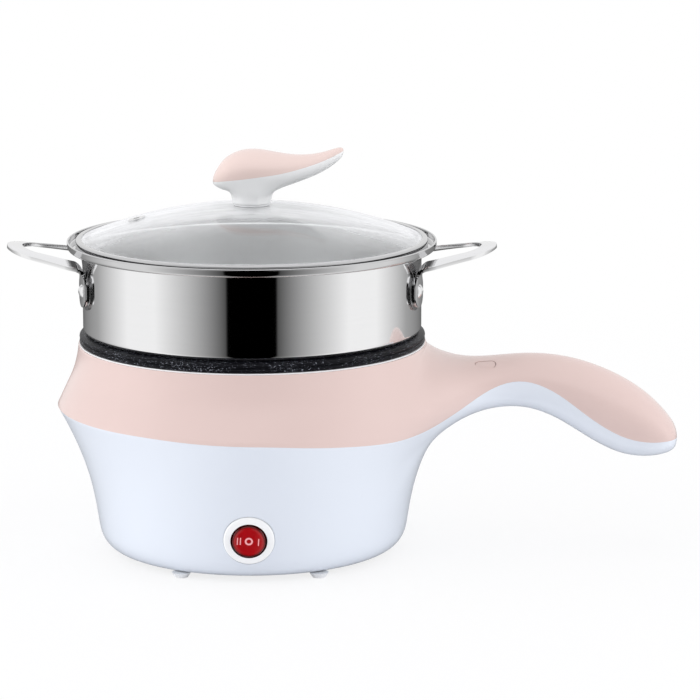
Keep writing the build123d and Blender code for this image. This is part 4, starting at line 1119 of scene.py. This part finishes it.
def slice_across(bm, low, high, pitch, axis):
    """Cut a flat shape at even places along an axis, so that it can be bent."""
    normal = Vector((1, 0, 0)) if axis == 0 else Vector((0, 1, 0))
    count = max(1, round((high - low) / pitch))
    for index in range(count + 1):
        cut_place = normal * (low + (high - low) * index / count)
        parts = bm.verts[:] + bm.edges[:] + bm.faces[:]
        bmesh.ops.bisect_plane(bm, geom=parts, dist=1e-4, plane_co=cut_place, plane_no=normal)


class BuildLoops(bpy.types.Operator):
    """Build both loop handles, their brackets and their rivets."""

    bl_idname = "hotpot.loops"
    bl_label = "Loop handles"

    def execute(self, context):
        sizes = millimetres(context.scene.hotpot_steamer)
        riding = ("steamer", "polished_steel")
        for side, name in ((1, "right"), (-1, "left")):
            loop = object_from(self.loop(sizes, side), name + "_loop_handle")
            give_wall(loop, sizes.loop_bar, 0.0, edge=LOOP_EDGE, segments=3, angle=CRISP)
            dress(loop, "polished", *riding, name + "_loop", angle=CRISP)
            plates = object_from(self.brackets(sizes, side), name + "_backing_plates")
            give_wall(plates, sizes.bracket, 0.0, edge=BRACKET_EDGE, angle=CRISP)
            # the brackets take the shaded steel: painted shade
            dress(plates, "shaded", *riding, name + "_loop_brackets", angle=CRISP)
        rivets = object_from(self.rivets(sizes), "domed_rivets")
        dress(rivets, "polished", *riding, "loop_rivets", angle=CRISP)
        return {"FINISHED"}

    @staticmethod
    def loop(sizes, side):
        """A flat U with a pad on each end, curved to the band and then bent outwards."""
        middle = sizes.band + sizes.bracket + sizes.loop_bar / 2
        bend = sizes.loop_bend
        leg_x = sqrt(middle**2 - PAD_ACROSS**2)
        turn_angle = pi / 2 - LOOP_RISE
        crown = middle - leg_x
        arc = bend * turn_angle
        arm_x = leg_x + bend * (1 - cos(turn_angle))
        reach = (LOOP_TIP[0] - crown * cos(turn_angle) - arm_x) / cos(LOOP_RISE)
        arm_z = LOOP_TIP[1] - crown * sin(turn_angle) - reach * sin(LOOP_RISE)
        bend_z = arm_z - bend * sin(turn_angle)
        tip = arc + reach

        foot, shoulder, neck = PAD_FOOT - bend_z, PAD_SHOULDER - bend_z, PAD_NECK - bend_z
        pad_low, pad_high = PAD_ACROSS - PAD_WIDE / 2, PAD_ACROSS + PAD_WIDE / 2
        pad_round = PAD_WIDE / 2 - ROUND_SLACK
        outer, outer_tip = LOOP_OUTER_ENDS
        inner, inner_tip = LOOP_INNER_ENDS
        half = [
            (foot, pad_low, pad_round),
            (foot, pad_high, pad_round),
            (shoulder, pad_high, 2.0),
            (neck, outer, 2.0),
            (arc, outer, 5.0),
            (tip, outer_tip, outer_tip - 2 * ROUND_SLACK),
        ]
        hollow = [
            (shoulder, pad_low, 1.5),
            (neck, inner, 1.5),
            (arc, inner, 5.0),
            (tip - LOOP_TIP_WIDTH, inner_tip, inner_tip - 2 * ROUND_SLACK),
        ]
        mirrored = [(p[0], -p[1], *p[2:]) for p in reversed(half)]
        hole = [(p[0], -p[1], *p[2:]) for p in hollow] + list(reversed(hollow))
        bm = bmesh.new()
        flat_outline(bm, half + mirrored + hole, 12)
        slice_across(bm, 0, arc, BEND_PITCH, 0)
        slice_across(bm, -outer, outer, CURVE_PITCH, 1)

        for vert in bm.verts:
            run, across = vert.co.x, vert.co.y
            lean = sqrt(middle**2 - across**2) - leg_x
            angle = min(max(run / bend, 0), turn_angle)
            x = leg_x + bend * (1 - cos(angle)) + lean * cos(angle)
            z = bend_z + min(run, 0) + bend * sin(angle) + lean * sin(angle)
            beyond = max(run - arc, 0)
            vert.co = (side * (x + beyond * cos(LOOP_RISE)), across, z + beyond * sin(LOOP_RISE))
        bmesh.ops.recalc_face_normals(bm, faces=bm.faces)
        return bm

    @staticmethod
    def brackets(sizes, side):
        """Two plates bent to the band, each wider at its top."""
        bm = bmesh.new()
        low = PAD_FOOT - BRACKET_MARGIN
        wide = PAD_WIDE / 2 + BRACKET_MARGIN
        leg, top = BRACKET_LEG_WIDTH / 2, BRACKET_TOP_WIDTH / 2
        for sign in (-1, 1):
            shape = [
                (low, -wide, wide - ROUND_SLACK),
                (low, wide, wide - ROUND_SLACK),
                (PAD_SHOULDER, wide, 3.0),
                (PAD_NECK, leg, 2.0),
                (BRACKET_TOP, top),
                (BRACKET_TOP, -top),
                (PAD_NECK, -leg, 2.0),
                (PAD_SHOULDER, -wide, 3.0),
            ]
            flat_outline(bm, [(p[0], sign * (PAD_ACROSS + p[1]), *p[2:]) for p in shape], 8)
        slice_across(bm, PAD_SHOULDER, BRACKET_TOP - 1, BRACKET_PITCH, 0)
        for sign in (-1, 1):
            ends = (sign * (PAD_ACROSS - top + 1), sign * (PAD_ACROSS + top - 1))
            slice_across(bm, *ends, BRACKET_PITCH, 1)
        middle = sizes.band + sizes.bracket / 2
        for vert in bm.verts:
            height, across = vert.co.x, vert.co.y
            vert.co = (side * sqrt(middle**2 - across**2), across, height)
        bmesh.ops.recalc_face_normals(bm, faces=bm.faces)
        return bm

    @staticmethod
    def rivets(sizes):
        """Four domed rivets, seated on the pads."""
        bm = bmesh.new()
        seat = sizes.band + sizes.bracket + sizes.loop_bar
        head, rise = RIVET_HEAD
        shank, grip = RIVET_SHANK
        tail, end = RIVET_TAIL
        ball = (head**2 + rise**2) / (2 * rise)
        outline = dome_arc(ball, rise, 0, head - ROUND_SLACK, 10)
        outline += [(head, 0), (shank, 0), (shank, -grip)]
        outline += [(tail, -grip), (tail, -end, 0.4), (0, -end)]
        lean = asin(PAD_ACROSS / sizes.band)
        for turn_by in (lean, -lean, pi + lean, pi - lean):
            place = (seat * cos(turn_by), seat * sin(turn_by), RIVET_HEIGHT)
            one = turned(outline, 36, closed=False)
            take_in(bm, on_axis(one, place, (cos(turn_by), sin(turn_by), 0)))
        return bm


# ---------------------------------------------------------------- lid

HOOP_LOW = 164.45
HOOP_HEM = 1.2                # the hoop's lower lip, folded double
HOOP_SHEET = 0.6
GLASS_CROWN = 186.206
GLASS_EDGE = 92.0
GLASS_BORE = 3.6
GLASS_ROUNDING = 0.8
DOME_STEPS = 28
DOME_MARGINS = (1.2, 3.6)     # inwards of the hoop, where the dome's two faces end
FLANGE_MARGINS = (-0.4, 1.5)  # and where those of its flat flange begin


class BuildLid(bpy.types.Operator):
    """Build the glass and its hoop."""

    bl_idname = "hotpot.lid"
    bl_label = "Lid"

    def execute(self, context):
        sizes = millimetres(context.scene.hotpot_lid)
        for outline, name, finish, slot, node in (
            (self.glass(sizes), "glass_dome", "glass", "glass", "lid_glass"),
            # the hoop's edging steel is a greyer copy of the polished steel: painted shade
            (self.hoop(sizes), "steel_hoop", "edging", "polished_steel", "lid_hoop"),
        ):
            piece = object_from(turned(outline, ROUND_STEPS, segments=5), name)
            dress(piece, finish, "lid", slot, node, angle=CRISP)
        return {"FINISHED"}

    @staticmethod
    def glass(sizes):
        """Outline of the domed glass and its flat flange."""
        lip, thick = sizes.hoop - sizes.lip, sizes.glass
        low, high = HOOP_LOW + HOOP_HEM, HOOP_LOW + HOOP_HEM + thick
        upper, lower = [lip - margin for margin in DOME_MARGINS]
        above = dome_arc(sizes.dome, GLASS_CROWN, GLASS_BORE, upper, DOME_STEPS)
        under = dome_arc(sizes.dome - thick, GLASS_CROWN - thick, GLASS_BORE, lower, DOME_STEPS)
        return [
            *above,
            (lip - FLANGE_MARGINS[0], high),
            (GLASS_EDGE, high, GLASS_ROUNDING),
            (GLASS_EDGE, low, GLASS_ROUNDING),
            (lip - FLANGE_MARGINS[1], low),
            *reversed(under),
        ]

    @staticmethod
    def hoop(sizes):
        """Outline of the folded hoop."""
        inner, top = sizes.hoop - sizes.lip, HOOP_LOW + HOOP_HEM + HOOP_SHEET + sizes.glass
        return [
            (inner, HOOP_LOW),
            (sizes.hoop, HOOP_LOW, HOOP_SHEET),
            (sizes.hoop, top, 1.1),
            (inner, top, 0.2),
            (inner, top - HOOP_SHEET, 0.2),
            (sizes.hoop - HOOP_SHEET, top - HOOP_SHEET, 0.3),
            (sizes.hoop - HOOP_SHEET, HOOP_LOW + HOOP_HEM),
            (inner, HOOP_LOW + HOOP_HEM, 0.4),
        ]


# ---------------------------------------------------------------- knob

GASKET = 1.0
KNOB_SEAT = GLASS_CROWN + GASKET
KNOB_WALL = 1.4
KNOB_CRISP = 60
KNOB_BORE = 2.6
KNOB_SECTIONS = (             # (x, top, seam, underside, half width) over the knob's seat
    (-20.2, 14.4, 11.7, 10.0, 3.6),
    (-18.8, 17.6, 11.95, 8.8, 7.0),
    (-16.0, 21.8, 12.6, 7.4, 9.8),
    (-12.5, 25.3, 13.2, 6.5, 12.0),
    (-5.0, 28.7, 14.2, 5.9, 14.2),
    (4.0, 28.95, 15.5, 6.0, 14.4),
    (14.0, 26.8, 16.6, 7.6, 12.6),
    (24.0, 25.4, 18.7, 11.0, 10.2),
    (33.0, 25.9, 21.3, 14.4, 8.2),
    (40.0, 27.6, 23.8, 18.0, 6.4),
    (45.2, 29.4, 26.3, 21.8, 4.6),
    (48.1, 29.6, 27.6, 25.0, 2.4),
)
KNOB_SEAM_LINE = tuple((s[0], KNOB_SEAT + s[2]) for s in KNOB_SECTIONS)
KNOB_TAIL = (-20.7, 11.7)
KNOB_BEAK = (48.8, 27.8)
KNOB_HALF_RING = 12           # faces over, and under, the knob's seam
STEM_WINDOW = (-12.6, 14.1)   # stations between which the stem grows out
STEM_ROOT = 11.5              # height under which it does
STEM_SLANT = -0.45            # from faces whose normals point down at least so steeply
STEM_RINGS = ((11.4, 5.6), (10.55, 3.4), (10.3, 1.2), (10.3, 0.25), (10.0, 0.0), (KNOB_BORE, 0.0))


def knob_cage():
    """The cage of the knob: ovals from tail to beak."""
    bm = bmesh.new()
    places = []
    for x, top, seam, bottom, half_width in KNOB_SECTIONS:
        heights = (KNOB_SEAT + top, KNOB_SEAT + seam, KNOB_SEAT + bottom)
        places.append(oval_place((x, *heights, half_width), KNOB_HALF_RING, KNOB_HALF_RING))
    first = ring = new_ring(bm, 2 * KNOB_HALF_RING, places[0])
    for place in places[1:]:
        ring = extend(bm, ring, place)
    extend(bm, ring, lambda i: (KNOB_BEAK[0], 0, KNOB_SEAT + KNOB_BEAK[1]))
    extend(bm, first, lambda i: (KNOB_TAIL[0], 0, KNOB_SEAT + KNOB_TAIL[1]))
    bmesh.ops.remove_doubles(bm, verts=bm.verts, dist=0.005)
    bmesh.ops.recalc_face_normals(bm, faces=bm.faces)
    return bm


def draw_out_stem(bm):
    """Open the underside of the knob and draw its stem down to the glass."""
    low, high = STEM_WINDOW
    centres = [(f, f.calc_center_median()) for f in bm.faces if f.normal.z < STEM_SLANT]
    root = KNOB_SEAT + STEM_ROOT
    doomed = [face for face, at in centres if low < at.x < high and at.z < root]
    border = {e for f in doomed for e in f.edges if sum(g in doomed for g in e.link_faces) == 1}
    bmesh.ops.delete(bm, geom=doomed, context="FACES")
    verts = {v for e in border if e.is_valid for v in e.verts}
    ring = sorted(verts, key=lambda v: atan2(v.co.y, v.co.x))
    headings = [atan2(v.co.y, v.co.x) for v in ring]
    grow = cage_growth(len(ring))
    for radius, height in STEM_RINGS:
        across, z = radius * grow, KNOB_SEAT + height
        ring = extend(bm, ring, lambda i: (across * cos(headings[i]), across * sin(headings[i]), z))


class BuildKnob(bpy.types.Operator):
    """Build both halves of the knob."""

    bl_idname = "hotpot.knob"
    bl_label = "Knob"

    def execute(self, context):
        sizes = millimetres(context.scene.hotpot_lid)
        for name, node, finish, slot in (
            ("knob_top", "knob_cap", "knob_pink", "pink_plastic"),
            ("knob_bottom", "knob_base", "clear_white", "white_plastic"),
        ):
            cage = knob_cage()
            keep_side(cage, KNOB_SEAM_LINE, name == "knob_top")
            if name == "knob_bottom":
                draw_out_stem(cage)
            bmesh.ops.recalc_face_normals(cage, faces=cage.faces)
            half = object_from(cage, name)
            give_wall(half, KNOB_WALL, levels=2, edge=sizes.groove, angle=KNOB_CRISP)
            dress(half, finish, "lid", slot, node, angle=KNOB_CRISP)
        return {"FINISHED"}


# ---------------------------------------------------------------- pieces kept from CAD

CAD_FINISHES = {
    "white": ("bottom_cover",),
    "bezel": ("switch_body",),
    "pink": ("handle_plug",),
    "black": ("power_inlet", "thermostat"),
    "rubber": ("feet", "pan_seal", "knob_gasket"),
    "steel": (
        *("clamp_screws", "handle_screws", "heater_screws"),
        *("heat_shield", "heating_element", "thermal_fuse", "fuse_clip"),
    ),
    "aluminium": ("heating_plate",),
    "brass": ("inlet_pins", "switch_terminals"),
    "satin": ("knob_screw", "knob_washer", "vent_eyelet"),
}
CRISP_ANGLE = radians(32)
WELD_DISTANCE = 1e-6


def smooth_shading():
    """Geometry nodes that weld loose triangles and shade them smooth up to a crisp angle."""
    group = bpy.data.node_groups.new("smooth_shading", "GeometryNodeTree")
    for way in ("INPUT", "OUTPUT"):
        group.interface.new_socket("Geometry", in_out=way, socket_type="NodeSocketGeometry")
    nodes = NodeSet(group)
    welding = {"Geometry": nodes.node("NodeGroupInput"), "Distance": WELD_DISTANCE}
    welded = nodes.node("GeometryNodeMergeByDistance", inputs=welding)
    smoothed = nodes.node("GeometryNodeSetShadeSmooth", inputs={"Geometry": welded})
    angle = nodes.node("GeometryNodeInputMeshEdgeAngle", output="Unsigned Angle")
    greater = {"operation": "GREATER_THAN"}
    sharp = nodes.node("FunctionNodeCompare", greater, {0: angle, 1: CRISP_ANGLE})
    edges = {"Geometry": smoothed, "Selection": sharp, "Shade Smooth": False}
    crisp = nodes.node("GeometryNodeSetShadeSmooth", {"domain": "EDGE"}, edges)
    nodes.node("NodeGroupOutput", inputs={0: crisp})
    return group


class DressFrame(bpy.types.Operator):
    """Give the pieces kept from the frame their finishes and smooth shading."""

    bl_idname = "hotpot.dress_frame"
    bl_label = "Kept pieces"

    def execute(self, context):
        group = smooth_shading()
        for finish, names in CAD_FINISHES.items():
            for name in names:
                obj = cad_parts[name]
                obj.data.materials.clear()
                obj.data.materials.append(FINISHES[finish])
                add_modifier(obj, "NODES", node_group=group)
        return {"FINISHED"}


# ---------------------------------------------------------------- stage

CAMERA_PLACE = (0.0520, -1.800, 0.4612)
CAMERA_PITCH = radians(78.89)
CAMERA_LENS = 176.7
CAMERA_SENSOR = 36.0
FLOOR_SIZE = 30.0
FLOOR_COLOUR = (0.93, 0.93, 0.94, 1)
FLOOR_NEAR, FLOOR_FAR = 0.25, 0.8             # the floor fades to plain white between these
FLOOR_GLOW = 0.8              # share of plain white that the camera sees on the floor by the pot
WHITE = (1, 1, 1, 1)
FILL = (0.87, 0.87, 0.87 * 1.02)              # the room, on dull surfaces
FLAG_TURN = radians(1.2)      # where the middle of the dark flag stands, from straight in front
FLAG_STOPS = (                # brightness of the room round the pot, from the front to the back
    *((0.0, 0.0), (0.092, 0.0), (0.098, 0.09), (0.25, 0.58)),
    *((0.385, 1.0), (0.52, 1.0), (0.72, 0.40), (0.95, 0.14)),
)
BACK_TURN = (0.5, 0.62)       # where the front of the room turns into its back
FRONT_HORIZON, BACK_HORIZON = 0.35, -0.14     # heights, as sines, over which the room is sky
HORIZON_BLUR = (0.24, 0.18)   # height of that change in front, and how much less it is behind
SKY_LOW, SKY_HIGH = (0.9, 0.9, 0.9), (0.96, 0.96, 0.97)
SKY_RISE = (0.12, 0.5)        # heights over which the sky grows from the one to the other
SOFTBOXES = (                 # (place, size, power)
    ((-1.6, -0.25, 0.6), 1.2, 8.5),
    ((1.65, -0.25, 0.6), 1.2, 6.0),
    ((0.0, -0.1, 1.7), 1.2, 2.0),
)
SOFTBOX_AIM = Vector((0, 0, 0.1))


def ray(nodes, kind):
    return nodes.node("ShaderNodeLightPath", output=f"Is {kind} Ray")


class BuildStage(bpy.types.Operator):
    """Build the floor, the room, the lamps and the camera."""

    bl_idname = "hotpot.stage"
    bl_label = "Stage"

    def execute(self, context):
        self.floor()
        self.room(context.scene)
        self.lamps(context.scene)
        self.camera(context.scene)
        context.scene.view_settings.view_transform = "Standard"
        return {"FINISHED"}

    @staticmethod
    def floor():
        bm = bmesh.new()
        bmesh.ops.create_grid(bm, x_segments=1, y_segments=1, size=FLOOR_SIZE / 2 / MM)
        floor = object_from(bm, "studio_floor")
        material = bpy.data.materials.new("studio_floor")
        nodes = NodeSet(material)
        matt = nodes.node("ShaderNodeBsdfDiffuse", inputs={"Color": FLOOR_COLOUR})
        glow = nodes.node("ShaderNodeEmission", inputs={"Color": WHITE, "Strength": 1.0})
        clear = nodes.node("ShaderNodeBsdfTransparent")
        where = nodes.node("ShaderNodeTexCoord", output="Object")
        away = nodes.vector_maths("LENGTH", where, output="Value")
        fading = {0: away, 1: FLOOR_NEAR, 2: FLOOR_FAR, 3: FLOOR_GLOW}
        fade = nodes.node("ShaderNodeMapRange", inputs=fading)
        shown = (ray(nodes, "Camera") + ray(nodes, "Transmission")) * fade
        lit = nodes.node("ShaderNodeMixShader", inputs={0: shown, 1: matt, 2: glow})
        layers = {0: ray(nodes, "Glossy"), 1: lit, 2: clear}
        surface = nodes.node("ShaderNodeMixShader", inputs=layers)
        nodes.node("ShaderNodeOutputMaterial", inputs={"Surface": surface})
        floor.data.materials.append(material)

    @staticmethod
    def room(scene):
        """White to the camera, plain on dull surfaces, and flags under a pale sky in mirrors."""
        scene.world = bpy.data.worlds.new("studio")
        nodes = NodeSet(scene.world)
        across, along, up = nodes.parts(nodes.node("ShaderNodeTexCoord", output="Generated"))
        front = across * sin(FLAG_TURN) - along * cos(FLAG_TURN)
        level = (across * across + along * along) ** 0.5
        heading = (front / level).maths("ARCCOSINE", front / level) / pi
        flags = nodes.node("ShaderNodeValToRGB", {"stops": FLAG_STOPS}, {0: heading})
        behind = nodes.ramp(heading, *BACK_TURN)
        horizon = FRONT_HORIZON - behind * (FRONT_HORIZON - BACK_HORIZON)
        overhead = nodes.ramp(up, horizon, horizon + HORIZON_BLUR[0] - behind * HORIZON_BLUR[1])
        sky = nodes.blend(nodes.ramp(up, *SKY_RISE), SKY_LOW, SKY_HIGH)
        mirrored = nodes.blend(overhead, flags, sky)
        seen = nodes.blend(ray(nodes, "Diffuse"), WHITE[:3], FILL)
        colour = nodes.blend(ray(nodes, "Glossy"), seen, mirrored)
        light = nodes.node("ShaderNodeBackground", inputs={"Color": colour, "Strength": 1.0})
        nodes.node("ShaderNodeOutputWorld", inputs={"Surface": light})

    @staticmethod
    def lamps(scene):
        for number, (place, size, power) in enumerate(SOFTBOXES):
            lamp = bpy.data.lights.new(f"softbox_{number}", "AREA")
            lamp.shape, lamp.size, lamp.energy = "SQUARE", size, power
            holder = bpy.data.objects.new(f"softbox_{number}", lamp)
            holder.location = place
            holder.visible_glossy = False
            holder.rotation_mode = "QUATERNION"
            holder.rotation_quaternion = (SOFTBOX_AIM - Vector(place)).to_track_quat("-Z", "Y")
            scene.collection.objects.link(holder)

    @staticmethod
    def camera(scene):
        data = bpy.data.cameras.new("camera")
        data.lens, data.sensor_width = CAMERA_LENS, CAMERA_SENSOR
        camera = bpy.data.objects.new("camera", data)
        camera.location = CAMERA_PLACE
        camera.rotation_euler = (CAMERA_PITCH, 0, 0)
        scene.collection.objects.link(camera)
        scene.camera = camera


# ---------------------------------------------------------------- add-on

OPERATORS = (
    MakeFinishes,
    BuildHousing,
    BuildSwitch,
    BuildPan,
    BuildSteamer,
    BuildLoops,
    BuildLid,
    BuildKnob,
    DressFrame,
    BuildStage,
)
GROUPS = {
    "hotpot_housing": HousingSizes,
    "hotpot_steamer": SteamerSizes,
    "hotpot_lid": LidSizes,
    "hotpot_switch": SwitchSizes,
    "hotpot_colours": PotColours,
}


class HotPotPanel(bpy.types.Panel):
    """Lists the pot's sizes, colours and build steps."""

    bl_idname = "VIEW3D_PT_hotpot"
    bl_label = "Electric hot pot"
    bl_space_type = "VIEW_3D"
    bl_region_type = "UI"
    bl_category = "Hot pot"

    def draw(self, context):
        for name, group in GROUPS.items():
            box = self.layout.box()
            for prop in group.__annotations__:
                box.prop(getattr(context.scene, name), prop)
        for operator in OPERATORS:
            self.layout.operator(operator.bl_idname)


CLASSES = (*GROUPS.values(), *OPERATORS, HotPotPanel)


def register():
    for cls in CLASSES:
        bpy.utils.register_class(cls)
    for name, group in GROUPS.items():
        setattr(bpy.types.Scene, name, bpy.props.PointerProperty(type=group))


def unregister():
    for name in GROUPS:
        delattr(bpy.types.Scene, name)
    for cls in reversed(CLASSES):
        bpy.utils.unregister_class(cls)


def main():
    register()
    for operator in OPERATORS:
        getattr(bpy.ops.hotpot, operator.bl_idname.split(".")[1])()


if __name__ == "__main__":
    main()
